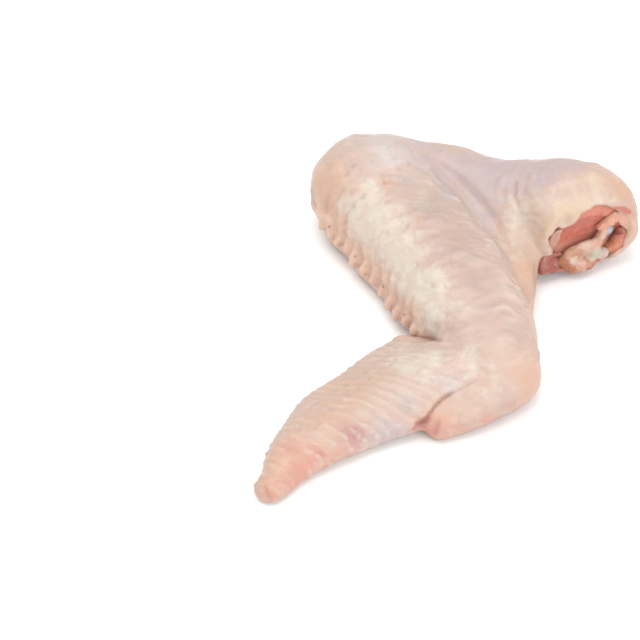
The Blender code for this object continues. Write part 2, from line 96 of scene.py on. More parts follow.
# How bright the studio lights a level surface, which the picked colours allow for.
STUDIO_LIGHT = 1.55


def spline(points: Sequence[Sequence[float]], count: int) -> Points:
    """Points along a smooth path through a few given ones.

    Args:
        points: the given points, each of any number of values.
        count: how many points to return.

    Returns:
        The points of the path, one to a row.
    """
    given = np.asarray(points, float)
    last = len(given) - 1
    padded = np.vstack([2 * given[0] - given[1], given, 2 * given[-1] - given[-2]])
    place = np.linspace(0, last, count)
    step = np.minimum(place.astype(int), last - 1)
    part = (place - step)[:, None]
    before, start, end, after = (padded[step + shift] for shift in range(4))
    return 0.5 * (2 * start + (end - before) * part
                  + (2 * before - 5 * start + 4 * end - after) * part ** 2
                  + (3 * start - before - 3 * end + after) * part ** 3)


def unit(vectors: np.ndarray) -> np.ndarray:
    """Vectors scaled to length one."""
    return vectors / np.maximum(np.linalg.norm(vectors, axis=-1, keepdims=True), 1e-9)


def smooth_union(first: Values, second: Values, radius: float) -> Values:
    """Two distance fields joined with a soft fillet.

    Args:
        first: one field's distances.
        second: the other's, at the same points.
        radius: the fillet's radius.

    Returns:
        The distances from both together.
    """
    if radius == 0:
        return np.minimum(first, second)
    share = np.clip(0.5 + 0.5 * (second - first) / radius, 0, 1)
    return second * (1 - share) + first * share - radius * share * (1 - share)


def smooth_cut(first: Values, second: Values, radius: float) -> Values:
    """What two distance fields have in common, with its edge rounded by a radius."""
    return -smooth_union(-first, -second, radius)


def cut_by(found: Values, limits: Iterable[Values], radius: float) -> Values:
    """What a distance field has in common with several others, each edge rounded by a radius."""
    return reduce(lambda kept, limit: smooth_cut(kept, limit, radius), limits, found)


def smooth_step(values: Values, low: float, high: float) -> Values:
    """Values eased from 0 at a low one to 1 at a high one."""
    share = np.clip((values - low) / (high - low), 0, 1)
    return share * share * (3 - 2 * share)


def noise_at(points: Points, length: float = 1.0, shift: float = 0.0) -> Values:
    """Gradient noise of a length at each point, from about -1 to 1."""
    return np.array([noise.noise(point) for point in (points / length + shift).tolist()])


def drift(points: Points, length: float, shifts: Sequence[float]) -> Points:
    """Three noises side by side, one for each way that they push a point."""
    return np.column_stack([noise_at(points, length, shift) for shift in shifts])


def lobules_at(points: Points) -> Values:
    """Rounded cells with creases between them, from 0 in the creases to about 1."""
    near = np.array([noise.voronoi(point)[0][:2] for point in points.tolist()])
    return np.clip((near[:, 1] - near[:, 0]) * CELL_CONTRAST, 0, 1)


def facets_at(points: Points) -> Values:
    """Flat facets at odd angles, as torn fat has.

    Args:
        points: where to read them.

    Returns:
        The height at each point, from about -0.5 to 0.5.
    """
    noise.seed_set(FACET_SEED)
    found = np.empty(len(points))
    for index, point in enumerate(points.tolist()):
        nearest = noise.voronoi(point)[1][0]
        found[index] = (Vector(point) - nearest).dot(noise.noise_vector(nearest * FACET_TURNS))
    return found


def stretched_noise(points: Points, turn: float, length: float, width: float, shift: float) -> Values:
    """Noise drawn out one way, as wrinkles are.

    Args:
        points: where to read it.
        turn: the way that the wrinkles run, in degrees seen from above.
        length: how long one is.
        width: how wide one is.
        shift: a distance that sets one use of the noise apart from another.

    Returns:
        The noise at each point, from about -1 to 1.
    """
    angle = math.radians(turn)
    along = points[:, 0] * math.cos(angle) + points[:, 1] * math.sin(angle)
    across = points[:, 1] * math.cos(angle) - points[:, 0] * math.sin(angle)
    return noise_at(np.column_stack([along / length, across / width + shift, points[:, 2] / width]))


def path_distance(points: Points, line: Points) -> tuple[Values, Values]:
    """How far points lie from a line, and how far along it the nearest bit is.

    Args:
        points: the points to measure from.
        line: the points of the line, in order.

    Returns:
        The distances, and the shares of the line's length from 0 to 1.
    """
    nearest = np.full(len(points), np.inf)
    share = np.zeros(len(points))
    for index, (start, end) in enumerate(zip(line, line[1:])):
        run = end - start
        part = np.clip(((points - start) @ run) / (run @ run), 0, 1)
        away = np.linalg.norm(points - start - part[:, None] * run, axis=1)
        closer = away < nearest
        nearest[closer] = away[closer]
        share[closer] = (index + part[closer]) / (len(line) - 1)
    return nearest, share


def join_rows(shell: bmesh.types.BMesh, rows: Sequence[Sequence[Any]], closed: bool = True) -> None:
    """Add faces between rows of corners.

    Args:
        shell: the mesh that has the corners.
        rows: the rows, each of the same number of corners.
        closed: whether a row's last corner is joined to its first.
    """
    for low, high in zip(rows, rows[1:]):
        for step in range(len(low) if closed else len(low) - 1):
            beside = (step + 1) % len(low)
            shell.faces.new((low[step], low[beside], high[beside], high[step]))


def in_scene(name: str, data: bpy.types.ID) -> Piece:
    """A new object of some data, linked to the scene."""
    thing = bpy.data.objects.new(name, data)
    bpy.context.scene.collection.objects.link(thing)
    return thing


class Limb:
    """A round limb: oval sections strung along a smooth centre line."""

    SAMPLES = 26
    SAG = 1.2
    DOME = (0.35, 0.75, 1.15)

    def __init__(self, stations: Stations, tilt: float = 0.0) -> None:
        """Lay the limb out along its stations.

        Args:
            stations: x, y, half width, half height and lift of each.
            tilt: how far its sections roll over, in degrees.
        """
        rows = spline(stations, self.SAMPLES)
        self.half_width = rows[:, 2]
        self.half_height = rows[:, 3]
        height = rows[:, 3] + rows[:, 4] - self.SAG
        self.centre = np.column_stack([rows[:, 0], rows[:, 1], height])
        self.along = unit(np.gradient(self.centre, axis=0))
        level = unit(np.cross(self.along, UP))
        upright = np.cross(level, self.along)
        turn = math.radians(tilt)
        self.side = level * math.cos(turn) + upright * math.sin(turn)
        self.up = upright * math.cos(turn) - level * math.sin(turn)

    def distance(self, points: Points) -> Values:
        """Distance from the limb's surface.

        Args:
            points: the points to measure from.

        Returns:
            The distances, less than zero inside.
        """
        spread = (self.centre ** 2).sum(1) - 2 * points @ self.centre.T
        nearest = spread.argmin(1)
        found = np.full(len(points), np.inf)
        for shift in (-1, 0):
            first = np.clip(nearest + shift, 0, self.SAMPLES - 2)
            found = np.minimum(found, self.section_distance(points, first))
        return found

    def section_distance(self, points: Points, first: np.ndarray) -> Values:
        """Distance from the limb's stretch that starts at each point's own sample.

        Args:
            points: the points to measure from.
            first: for each point, the sample where its stretch starts.

        Returns:
            The distances.
        """
        start = self.centre[first]
        run = self.centre[first + 1] - start
        share = ((points - start) * run).sum(1) / (run ** 2).sum(1)
        share = np.clip(share, 0, 1)[:, None]

        def between(values: np.ndarray) -> np.ndarray:
            """A value of the limb at each point's place along its stretch."""
            rows = values.reshape(self.SAMPLES, -1)
            return rows[first] * (1 - share) + rows[first + 1] * share

        offset = points - between(self.centre)
        wide, high = between(self.half_width)[:, 0], between(self.half_height)[:, 0]
        radii = np.column_stack([wide, high, np.minimum(wide, high)])
        axes = (between(self.side), between(self.up), between(self.along))
        local = np.column_stack([(offset * axis).sum(1) for axis in axes])
        reach = np.linalg.norm(local / radii, axis=1)
        slope = np.linalg.norm(local / radii ** 2, axis=1)
        return reach * (reach - 1) / np.maximum(slope, 1e-6)

    def loft(self, shell: bmesh.types.BMesh, sides: int = 20) -> None:
        """Add the limb to a mesh as a skinned row of oval rings with domed ends.

        Args:
            shell: the mesh that takes the limb in.
            sides: how many corners a ring has.
        """
        ends = [(0, -angle) for angle in reversed(self.DOME)]
        middle = [(sample, 0.0) for sample in range(self.SAMPLES)]
        rings = []
        for sample, angle in ends + middle + [(self.SAMPLES - 1, angle) for angle in self.DOME]:
            wide, high = self.half_width[sample], self.half_height[sample]
            centre = self.centre[sample] + self.along[sample] * min(wide, high) * math.sin(angle)
            side = self.side[sample] * wide * math.cos(angle)
            up = self.up[sample] * high * math.cos(angle)
            turn = [2 * math.pi * step / sides for step in range(sides)]
            ring = [centre + side * math.cos(angle) + up * math.sin(angle) for angle in turn]
            rings.append([shell.verts.new(corner * MM) for corner in ring])
        join_rows(shell, rings)
        shell.faces.new(list(reversed(rings[0])))
        shell.faces.new(rings[-1])


@dataclass(frozen=True)
class LimbPlan:
    """One limb's name, stations, how softly the others bridge to it, and its roll in degrees."""

    name: str
    stations: Stations
    bridge: float = 0.0
    tilt: float = 0.0


@dataclass
class WingForm:
    """The shapes that every piece is drawn onto, with the sizes of the solids."""

    skin_plans: tuple[LimbPlan, ...] = (
        LimbPlan("upper_arm", (
            (-21, 47, 12.5, 12.2, 0), (-4, 48.4, 11.5, 11.5, 0), (13, 41.2, 11.8, 11.6, 0),
            (26, 35.8, 12.6, 13.2, 0), (31, 34.6, 11.5, 12.8, 0))),
        LimbPlan("shoulder", ((35, 24.9, 13.4, 8.7, 4.5), (33.5, 32.5, 14.8, 12.9, 1.3)), 5, -20),
        LimbPlan("elbow", ((-23.2, 43.4, 13.6, 13.2, 0), (-19, 46.6, 13.6, 13.4, 0)), 5),
        LimbPlan("web", (
            (8, 41, 9.5, 8, 2), (13, 24, 8, 7, 0), (13.6, 4, 5.6, 6, 0), (12.4, -11, 5.8, 6.6, 0)), 6),
        LimbPlan("forearm", (
            (-21, 44, 14, 13.4, 0), (-10.5, 28.5, 15.4, 12.4, 0), (-1.5, 9.5, 14.8, 11.4, 0),
            (5, -6, 12.6, 10, 0), (7.8, -17.6, 10.4, 9, 0)), 3.2),
        LimbPlan("forearm_edge", (
            (-25, 38.5, 7.6, 5.2, 1), (-17.6, 22.5, 6, 4.4, 0.5), (-8.8, 5.5, 5.6, 4.2, 0.5),
            (-3.3, -4.5, 5.8, 4.2, 0)), 4),
        LimbPlan("hand", (
            (5, -17.6, 10.2, 7.6, 0), (-8, -24.6, 10.6, 6.4, 0), (-22, -32.8, 9, 5.2, 0),
            (-36.8, -43.6, 6.4, 4.4, 0), (-45.2, -55.5, 3.6, 3.4, 0)), 2.4),
        LimbPlan("hand_edge", (
            (-10.5, -14.5, 9.4, 4.6, 0), (-23.2, -23.4, 8.8, 3.8, 0), (-35, -34.6, 6.7, 3.4, 0),
            (-42, -46.8, 3.6, 2.9, 0)), 3.5),
        LimbPlan("thumb", (
            (11, -17.5, 7.4, 7, 0), (10, -23.4, 6.6, 6.4, 0), (2.2, -29.8, 5.4, 5.2, 0),
            (-6, -34.6, 4.1, 4.2, 0)), 1.4),
    )
    hollow_plans: tuple[LimbPlan, ...] = (
        LimbPlan("recess", (
            (36.8, 19.3, 13.4, 8.4, 4.6), (34.9, 24.9, 12.4, 8.2, 5.4), (34.2, 30.4, 11.6, 8.4, 4.4),
        ), 0, -22),
        LimbPlan("corner", (
            (28.6, 20, 4.2, 3.4, 3.4), (26.2, 22.8, 3.6, 3.2, 3.6), (28.6, 28, 3.6, 3.2, 4.6)), 2.4, -22),
        LimbPlan("core", ((30, 35, 7.6, 7.8, 3.6), (15, 41, 6.4, 6.4, 3.4), (-4, 46, 5.4, 5.4, 3.4)), 2.4),
    )
    fold_plans: tuple[LimbPlan, ...] = (
        LimbPlan("curtain", (
            (23.6, 22, 1.6, 1.4, 15.5), (25, 22.5, 2.2, 2.4, 17.4), (26.9, 23.1, 2.4, 2.9, 16.9),
            (28.4, 23.6, 2.4, 2.9, 17.6), (29.9, 24.2, 2.4, 2.6, 19.8), (32.2, 25, 2, 1.7, 21.2))),
        LimbPlan("right_high", (
            (45.9, 30.1, 1.4, 1.2, 14.4), (46.1, 30.2, 2, 1.8, 11.6), (46.5, 30.3, 2.2, 2, 7.8))),
        LimbPlan("right_low", (
            (46.5, 30.3, 2.2, 2, 7.8), (45.3, 29.8, 2.2, 2, 4.2), (42.2, 28.7, 2, 1.6, 2.5))),
    )
    strip_plans: tuple[LimbPlan, ...] = (
        LimbPlan("strip", (
            (41.5, 28.3, 1.2, 2.1, 14.9), (39, 27.5, 1.2, 1.5, 14.2), (36.8, 26.8, 1, 0.8, 13.6))),
        LimbPlan("tendon", (
            (38.2, 27.5, 1.1, 1.1, 12.1), (37.6, 27, 1.2, 1.4, 9.9), (36.5, 26.4, 1.3, 1.9, 6.9)), 0.8),
        LimbPlan("band", (
            (36.5, 26.4, 1.3, 1.9, 6.9), (33.8, 25.4, 1.3, 2.2, 7.1), (31.4, 24.3, 1.4, 2.3, 6.2),
            (29.4, 23.6, 1.3, 2.3, 5.5)), 0.8),
        LimbPlan("right_lobe", ((36.1, 25.8, 1.7, 2.7, 4), (38.9, 26.9, 1.4, 1.6, 4.7)), 0.8),
        LimbPlan("left_lobe", ((27.9, 23.3, 1.2, 2, 5), (30.1, 23.4, 1.7, 2.3, 3)), 0.8),
        LimbPlan("bottom_lobe", (
            (30.7, 23.4, 1.8, 1.9, 2.8), (32.8, 23.8, 1.9, 2.1, 2.6), (35, 24.9, 1.7, 1.9, 2.6)), 0.8),
    )
    bone_plan: LimbPlan = LimbPlan("humerus", (
        (38.9, 31, 2.7, 2.7, 8.9), (36.7, 34.4, 2.7, 2.7, 9.1), (29, 37.6, 2.4, 2.4, 9.4),
        (4, 44.4, 2.2, 2.2, 8.4)))
    pocket_plan: LimbPlan = LimbPlan("pocket fat", (
        (40.8, 29.2, 1.6, 1.6, 4.7), (42.6, 29.9, 1.9, 2.4, 5), (43.5, 30.7, 1.7, 2.5, 7.2),
        (43.4, 31.1, 1.4, 1.8, 9.5)))
    lobe_path: Stations = ((-32, 37, 8.4), (-25, 25.1, 7), (-16.6, 10.4, 6.2), (-9.6, -2.4, 5.8))
    lobe_count: int = 12
    lobe_length: float = 4.4
    lobe_radius: float = 2.1
    lobe_lean: float = 0.45
    lobe_inside: float = 0.7
    lobe_taper: float = 0.75
    lobe_droop: float = 2.2
    lobe_blend: float = 0.9
    lobe_spread: tuple[float, float] = (0.8, 1.2)
    lobe_near: float = 4.0
    lobe_seed: int = 11
    table_rounding: float = 2.2
    cut_point: Place = (34.0, 24.6, 11.0)
    cut_facing: Place = (0.33, -0.94, 0.0)
    cut_left_end: float = -13.6
    cut_wave_height: float = 0.5
    cut_wave_across: float = 0.55
    cut_wave_upward: float = 0.4
    rim_rounding: float = 0.7
    hollow_floor: float = 1.5
    fold_bridge: float = 1.0
    hollow_floor_rounding: float = 1.0
    ragged_reach: tuple[float, float] = (6.0, 3.0)
    ragged_noises: Stations = ((2.6, 5), (1.1, 8), (2.1, 31))
    ragged_shares: tuple[float, ...] = (0.4, 0.8, 0.3)
    muscle_rounding: float = 0.5
    bone_rounding: float = 0.3
    fat_rounding: float = 0.2
    fat_clearance: float = 1.6
    face_depth_plain: float = 1.4
    face_dips: Stations = ((1.4, -2.5, -1, 7.5, 6), (1, 3, -1.6, 1.9, 2.6), (2.2, 9, -3, 3.2, 4))
    block_width: float = 44.0
    block_heights: tuple[float, float] = (-12.0, 34.0)
    block_thickness: float = 40.0
    block_grid: tuple[int, int] = (37, 31)

    def __post_init__(self) -> None:
        """Lay out the limbs, the lobes and the directions of the cut."""
        self.skin = {plan.name: Limb(plan.stations, plan.tilt) for plan in self.skin_plans}
        self.hollows = [Limb(plan.stations, plan.tilt) for plan in self.hollow_plans]
        self.strip = [Limb(plan.stations) for plan in self.strip_plans]
        self.folds = {plan.name: Limb(plan.stations) for plan in self.fold_plans}
        self.bone_limb = Limb(self.bone_plan.stations)
        self.pocket_limb = Limb(self.pocket_plan.stations)
        self.normal = unit(np.array(self.cut_facing))
        self.across = unit(np.cross(UP, self.normal))
        self.lobes = self.quill_lobes()

    def quill_lobes(self) -> list[Limb]:
        """The lobes of skin round the quill roots.

        Returns:
            A short limb for each, which points off the edge.
        """
        random = np.random.default_rng(self.lobe_seed)
        path = spline(self.lobe_path, self.lobe_count)
        along = unit(np.gradient(path, axis=0))
        outward = unit(along * self.lobe_lean - np.cross(UP, along))
        lobes = []
        for place, out in zip(path, outward):
            wide = self.lobe_radius * random.uniform(*self.lobe_spread)
            reach = self.lobe_length * random.uniform(*self.lobe_spread)
            narrow = wide * self.lobe_taper
            root = place - out * reach * self.lobe_inside
            tip = root + out * reach
            lift = place[2] - wide + Limb.SAG + self.lobe_droop
            ends = ((*root[:2], wide, wide, lift), (*tip[:2], narrow, narrow, lift - self.lobe_droop))
            lobes.append(Limb(ends))
        return lobes

    def joined(self, plans: Iterable[LimbPlan], limbs: Iterable[Limb], points: Points) -> Values:
        """Distance from several limbs under one skin.

        Args:
            plans: the limbs' plans, which say how softly each is bridged.
            limbs: the limbs, in the same order.
            points: the points to measure from.

        Returns:
            The distances, less than zero inside.
        """
        found = np.full(len(points), 1e3)
        for plan, limb in zip(plans, limbs):
            found = smooth_union(found, limb.distance(points), plan.bridge)
        return found

    def flesh(self, points: Points) -> Values:
        """The whole wing before the cut, flattened by the table."""
        found = self.joined(self.skin_plans, self.skin.values(), points)
        return smooth_cut(found, -points[:, 2], self.table_rounding)

    def flesh_with_lobes(self, points: Points) -> Values:
        """The wing with the quill lobes on the forearm's trailing edge.

        Args:
            points: the points to measure from.

        Returns:
            The distances, less than zero inside.
        """
        found = self.flesh(points)
        for lobe in self.lobes:
            away = np.linalg.norm(points - lobe.centre.mean(0), axis=1)
            close = away < self.lobe_near * self.lobe_length
            found[close] = smooth_union(found[close], lobe.distance(points[close]), self.lobe_blend)
        return smooth_cut(found, -points[:, 2], 0)

    def open_hollow(self, points: Points) -> Values:
        """The hollow that the cut opens, with the tunnel of the muscle behind it."""
        found = self.joined(self.hollow_plans, self.hollows, points)
        return smooth_cut(found, self.hollow_floor - points[:, 2], self.hollow_floor_rounding)

    def hollow(self, points: Points) -> Values:
        """The hollow, less the folds that stand into it."""
        folds = [-fold.distance(points) for fold in self.folds.values()]
        return cut_by(self.open_hollow(points), folds, self.fold_bridge)

    def dig(self, name: str, solid: "Sculpt", limb: Limb, gap: float, voxel: float) -> None:
        """Clear a solid from round a limb, with a gap."""
        wider = Sculpt.from_limbs(name, [limb], lambda points: limb.distance(points) - gap, voxel)
        solid.cut_away(wider)

    def bone(self, points: Points) -> Values:
        """The humerus."""
        return self.bone_limb.distance(points)

    def ahead_of_cut(self, points: Points) -> Values:
        """How far points lie in front of the plane of the cut."""
        return (points - np.array(self.cut_point)) @ self.normal

    def along_cut(self, points: Points) -> tuple[Values, Values]:
        """How far points lie across the cut and above its middle."""
        return (points - np.array(self.cut_point)) @ self.across, points[:, 2] - self.cut_point[2]

    def cut_wave(self, across: Values, height: Values) -> Values:
        """The gentle wave of the cut through the skin."""
        level = self.cut_wave_height * np.sin(self.cut_wave_across * across)
        return level * np.cos(self.cut_wave_upward * height)

    def face_depth(self, across: Values, height: Values) -> Values:
        """How far back the muscle's face lies from the plane of the cut.

        Args:
            across: places across the cut.
            height: their heights over its middle.

        Returns:
            The depth at each place.
        """
        depth = self.face_depth_plain
        for dip, middle_across, middle_height, half_width, half_height in self.face_dips:
            aside = (across - middle_across) / half_width
            above = (height - middle_height) / half_height
            depth = depth + dip * np.exp(-aside ** 2 - above ** 2)
        return depth

    def carved(self, points: Points, ragged: float = 0.0) -> Values:
        """The wing as cut: without what lies in front of the cut, nor the hollow behind it.

        Args:
            points: the points to measure from.
            ragged: how far the rim wanders from the plain cut.

        Returns:
            The distances, less than zero inside.
        """
        across, height = self.along_cut(points)
        ahead = self.ahead_of_cut(points) - self.cut_wave(across, height)
        wall = self.hollow(points)
        before, beside = self.ragged_reach
        near = (np.abs(ahead) < before) & (np.abs(wall) < beside) & (ragged > 0)
        if near.any():
            slow, quick, round_wall = (noise_at(points[near], *plan) for plan in self.ragged_noises)
            rim_quick, wall_slow, wall_quick = self.ragged_shares
            ahead[near] += ragged * (slow + rim_quick * quick)
            wall[near] += ragged * (wall_slow * round_wall + wall_quick * quick)
        kept = smooth_union(ahead, across - self.cut_left_end, self.rim_rounding)
        body = smooth_cut(self.flesh_with_lobes(points), kept, self.rim_rounding)
        return smooth_cut(body, -wall, self.rim_rounding)

    def ahead_of_muscle(self, points: Points) -> Values:
        """How far points lie in front of the muscle's face."""
        return self.ahead_of_cut(points) + self.face_depth(*self.along_cut(points))

    def muscle(self, points: Points, gap: float) -> Values:
        """The muscle, clear of the skin and the bone by a gap."""
        found = smooth_cut(self.hollow(points) + gap, self.ahead_of_muscle(points), self.muscle_rounding)
        return smooth_cut(found, gap - self.bone(points), self.bone_rounding)

    def clear_of_neighbours(self, found: Values, points: Points, gap: float, lip_gap: float) -> Values:
        """A field of fat kept clear of what is round it.

        Args:
            found: the fat's own distances.
            points: the points that they were taken at.
            gap: clear space from the muscle and the bone.
            lip_gap: clear space from the skin.

        Returns:
            The distances of the fat that is left.
        """
        room = smooth_union(self.hollow(points), self.cut_wave_height - self.ahead_of_cut(points), 0)
        limits = (room + lip_gap, gap - self.ahead_of_muscle(points), gap - self.bone(points))
        return cut_by(found, limits, self.fat_rounding)

    def strip_of_fat(self, points: Points, gap: float, lip_gap: float) -> Values:
        """Pale fat and tendon in front of the muscle, with clear space round it."""
        found = self.joined(self.strip_plans, self.strip, points)
        return smooth_cut(self.clear_of_neighbours(found, points, gap, lip_gap), -points[:, 2], 0)

    def pocket_fat(self, points: Points, gap: float, lip_gap: float) -> Values:
        """The darker fat in the pocket, clear of the strip too."""
        found = self.clear_of_neighbours(self.pocket_limb.distance(points), points, gap, lip_gap)
        room = self.fat_clearance * gap - self.strip_of_fat(points, gap, lip_gap)
        return smooth_cut(found, room, self.fat_rounding)

    def front_block(self, name: str, left: float, surface: Callable[[Values, float], Values]) -> "Sculpt":
        """A block that fills the space in front of the cut.

        Args:
            name: what to call it.
            left: where its left side stands across the cut.
            surface: shape of its back face, from places across the cut and a height.

        Returns:
            The block, ready to be taken out of a solid.
        """
        columns, rows = self.block_grid
        across = np.linspace(left, left + self.block_width, columns)
        block = bmesh.new()
        layers = []
        for ahead in (0.0, self.block_thickness):
            layer = []
            for up in np.linspace(*self.block_heights, rows):
                shift = ahead + surface(across, up - self.cut_point[2])
                aside = np.outer(across, self.across) + np.outer(shift, self.normal)
                places = np.array(self.cut_point) + aside
                layer.append([block.verts.new((x * MM, y * MM, up * MM)) for x, y, _ in places])
            layers.append(layer)
            join_rows(block, layer, closed=False)
        rims = []
        for layer in layers:
            left_side = [line[0] for line in layer]
            right_side = [line[-1] for line in layer]
            rims.append(layer[0][:-1] + right_side[:-1] + layer[-1][:0:-1] + left_side[:0:-1])
        join_rows(block, rims)
        return Sculpt.from_shell(name, block)


class Sculpt:
    """A mesh under work: made even, drawn onto a shape, cut, raised and given masks."""

    RELAX = 0.6
    RELAX_ROUNDS = 5

    def __init__(self, name: str, mesh: bpy.types.Mesh) -> None:
        """Put a mesh in the scene under a name."""
        self.thing = in_scene(name, mesh)

    @classmethod
    def from_shell(cls, name: str, shell: bmesh.types.BMesh) -> "Sculpt":
        """A sculpt of a closed shell, with its faces turned outwards.

        Args:
            name: what to call it.
            shell: the shell, which is used up.

        Returns:
            The sculpt.
        """
        bmesh.ops.recalc_face_normals(shell, faces=shell.faces)
        mesh = bpy.data.meshes.new(name)
        shell.to_mesh(mesh)
        shell.free()
        return cls(name, mesh)

    @classmethod
    def from_limbs(cls, name: str, limbs: Iterable[Limb], found: Field, voxel: float) -> "Sculpt":
        """A closed solid grown from limbs.

        Args:
            name: what to call it.
            limbs: the limbs, which may run through each other.
            found: the field that its surface settles on.
            voxel: the size of its mesh.

        Returns:
            The solid.
        """
        shell = bmesh.new()
        for limb in limbs:
            limb.loft(shell)
        sculpt = cls.from_shell(name, shell)
        sculpt.draw_onto(found, voxel)
        return sculpt

    def corners(self, corners: Any, label: str) -> Points:
        """A value of three numbers that the mesh keeps at each corner.

        Args:
            corners: what keeps them.
            label: what they are called there.

        Returns:
            The values, one corner's to a row.
        """
        flat = np.empty(len(corners) * 3, np.float32)
        corners.foreach_get(label, flat)
        return flat.reshape(-1, 3).astype(float)

    @property
    def points(self) -> Points:
        """The mesh's corners."""
        return self.corners(self.thing.data.vertices, "co") / MM

    @points.setter
    def points(self, points: Points) -> None:
        """Move the mesh's corners."""
        self.thing.data.vertices.foreach_set("co", (points * MM).astype(np.float32).ravel())
        self.thing.data.update()

    @property
    def normals(self) -> Points:
        """The outward directions at the mesh's corners."""
        return self.corners(self.thing.data.vertex_normals, "vector")

    def change(self, kind: str, **settings: Any) -> None:
        """Replace the mesh by the one that a modifier makes of it.

        Args:
            kind: the modifier's type.
            settings: its settings.
        """
        modifier = self.thing.modifiers.new(kind.lower(), kind)
        for name, value in settings.items():
            setattr(modifier, name, value)
        graph = bpy.context.evaluated_depsgraph_get()
        changed = bpy.data.meshes.new_from_object(self.thing.evaluated_get(graph))
        self.thing.modifiers.clear()
        self.thing.data = changed

    def draw_onto(self, found: Field, voxel: float, rounds: int = SETTLE_ROUNDS) -> None:
        """Give the solid an even mesh and move it onto the surface where a field is zero."""
        self.change("REMESH", mode="VOXEL", voxel_size=voxel * MM)
        self.points = settle(found, self.points, rounds)

    def smooth_out(self, found: Field, voxel: float, redraws: int = 3) -> None:
        """Draw the solid onto its field again and again, so that no fold is left in its mesh.

        Args:
            found: the field.
            voxel: the size of its mesh.
            redraws: how many times to draw it.
        """
        for _ in range(redraws):
            self.draw_onto(found, voxel)
            self.change("SMOOTH", factor=self.RELAX, iterations=self.RELAX_ROUNDS)

    def cut_away(self, cutter: "Sculpt") -> None:
        """Take another solid out of this one, and drop that solid."""
        self.change("BOOLEAN", operation="DIFFERENCE", solver="MANIFOLD", object=cutter.thing)
        bpy.data.objects.remove(cutter.thing)

    def keep(self, masks: dict[str, Values]) -> None:
        """Keep values at each corner for the finish to read.

        Args:
            masks: the values by their name.
        """
        for name, values in masks.items():
            layer = self.thing.data.attributes.new(name, "FLOAT", "POINT")
            layer.data.foreach_set("value", np.clip(values, 0, 1).astype(np.float32))

    def finished(self, material: Material, slot: str, *nodes: str) -> Piece:
        """Bring the piece to its place, give it its finish and hand it to the frame.

        Args:
            material: its finish.
            slot: the record's material slot; handed on, but not used.
            nodes: the solids that it stands for.

        Returns:
            The finished piece.
        """
        self.points = self.points - MIDDLE
        self.thing.data.materials.clear()
        self.thing.data.materials.append(material)
        self.thing.data.shade_smooth()
        return hand_over(self.thing, slot, *nodes)


def settle(found: Field, points: Points, rounds: int = SETTLE_ROUNDS) -> Points:
    """Move points onto the surface where a field is zero.

    Args:
        found: the field.
        points: the points to move.
        rounds: how many steps to take.

    Returns:
        The points in their new places.
    """
    steps = SLOPE_STEP * np.eye(3)
    for _ in range(rounds):
        here = found(points)
        slope = np.column_stack([(found(points + step) - here) / SLOPE_STEP for step in steps])
        move = (here / np.maximum((slope ** 2).sum(1), LEAST_SLOPE))[:, None] * slope
        length = np.linalg.norm(move, axis=1, keepdims=True)
        points = points - move * np.minimum(1, LONGEST_MOVE / np.maximum(length, 1e-9))
    return points


def drop_onto(found: Field, places: Points) -> Points:
    """Let points fall straight down onto a shape.

    Args:
        found: the shape's field.
        places: x and y of each point, with anything after them left unread.

    Returns:
        The points on the surface.
    """
    points = np.column_stack([places[:, :2], np.full(len(places), FALL_HEIGHT)])
    for _ in range(FALL_ROUNDS):
        points[:, 2] -= FALL_SHARE * found(points)
    return points


def hand_over(piece: Piece, slot: str, *nodes: str) -> Piece:
    """Let a piece ride on the body and stand for its solids.

    Args:
        piece: the finished piece.
        slot: not used.
        nodes: the solids that it stands for.

    Returns:
        The piece.
    """
    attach(piece, BODY)
    if nodes:
        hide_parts(*nodes)
    return piece


class Tint(Enum):
    """The tints of the skin, each as the red, green and blue of a colour picker."""

    BLUSH = (229, 204, 189)
    CREAM = (243, 232, 215)
    PEACH = (236, 196, 170)
    SAND = (240, 215, 186)
    PEARL = (230, 218, 213)
    LILAC = (214, 197, 199)
    DUSK = (212, 188, 177)
    ROSE = (231, 168, 152)
    BRUISE = (201, 140, 142)
    QUILL = (196, 140, 100)
    # The edge tint is the peach of the trailing edge, made lighter as painted light against the shade where
    # the edge curves down.
    EDGE = (252, 215, 191)
    # The thumb-gap colour is painted shade: a dark red in the gap where the thumb meets the hand.
    NOTCH = (178, 98, 90)
    LINING = (212, 120, 102)
    SIDE = (234, 206, 190)
    # This red is the lining sheet's, made lighter as painted light because the sheet lies in shade.
    RED = (244, 150, 126)
    MEMBRANE = (206, 156, 140)
    # A darker red, partly the real red of the left folds and partly painted shade of the hollow they lie in.
    FOLD = (184, 100, 88)
    FLAP = (230, 178, 158)


def linear(picked: Sequence[float], light: float = STUDIO_LIGHT) -> tuple[float, ...]:
    """A colour picker's colour as a shader reads it.

    Args:
        picked: red, green and blue from 0 to 255.
        light: how bright the light is that the colour was picked under.

    Returns:
        Linear red, green, blue and a full alpha.
    """
    shares = np.asarray(picked, float) / 255
    plain = np.where(shares <= 0.04045, shares / 12.92, ((shares + 0.055) / 1.055) ** 2.4) / light
    return (*plain.tolist(), 1.0)


@dataclass(frozen=True)
class Wrinkles:
    """Folds of the skin over some limbs: the way they run in degrees, their sizes, how far they
    line up in even rows, how far their ridges get a painted highlight and how sharp they are, all from 0 to
    1."""

    limbs: tuple[str, ...]
    turn: float
    length: float
    width: float
    height: float
    regular: float = 0.0
    tone: float = 0.5
    sharp: float = 1.0


@dataclass(frozen=True)
class Crease:
    """A crease pressed into the skin: a path near the surface, depth, width and how rosy it turns, partly
    real pinker skin and partly painted shade.
    """

    path: Stations
    depth: float
    width: float
    redness_and_shade: float = 0.5


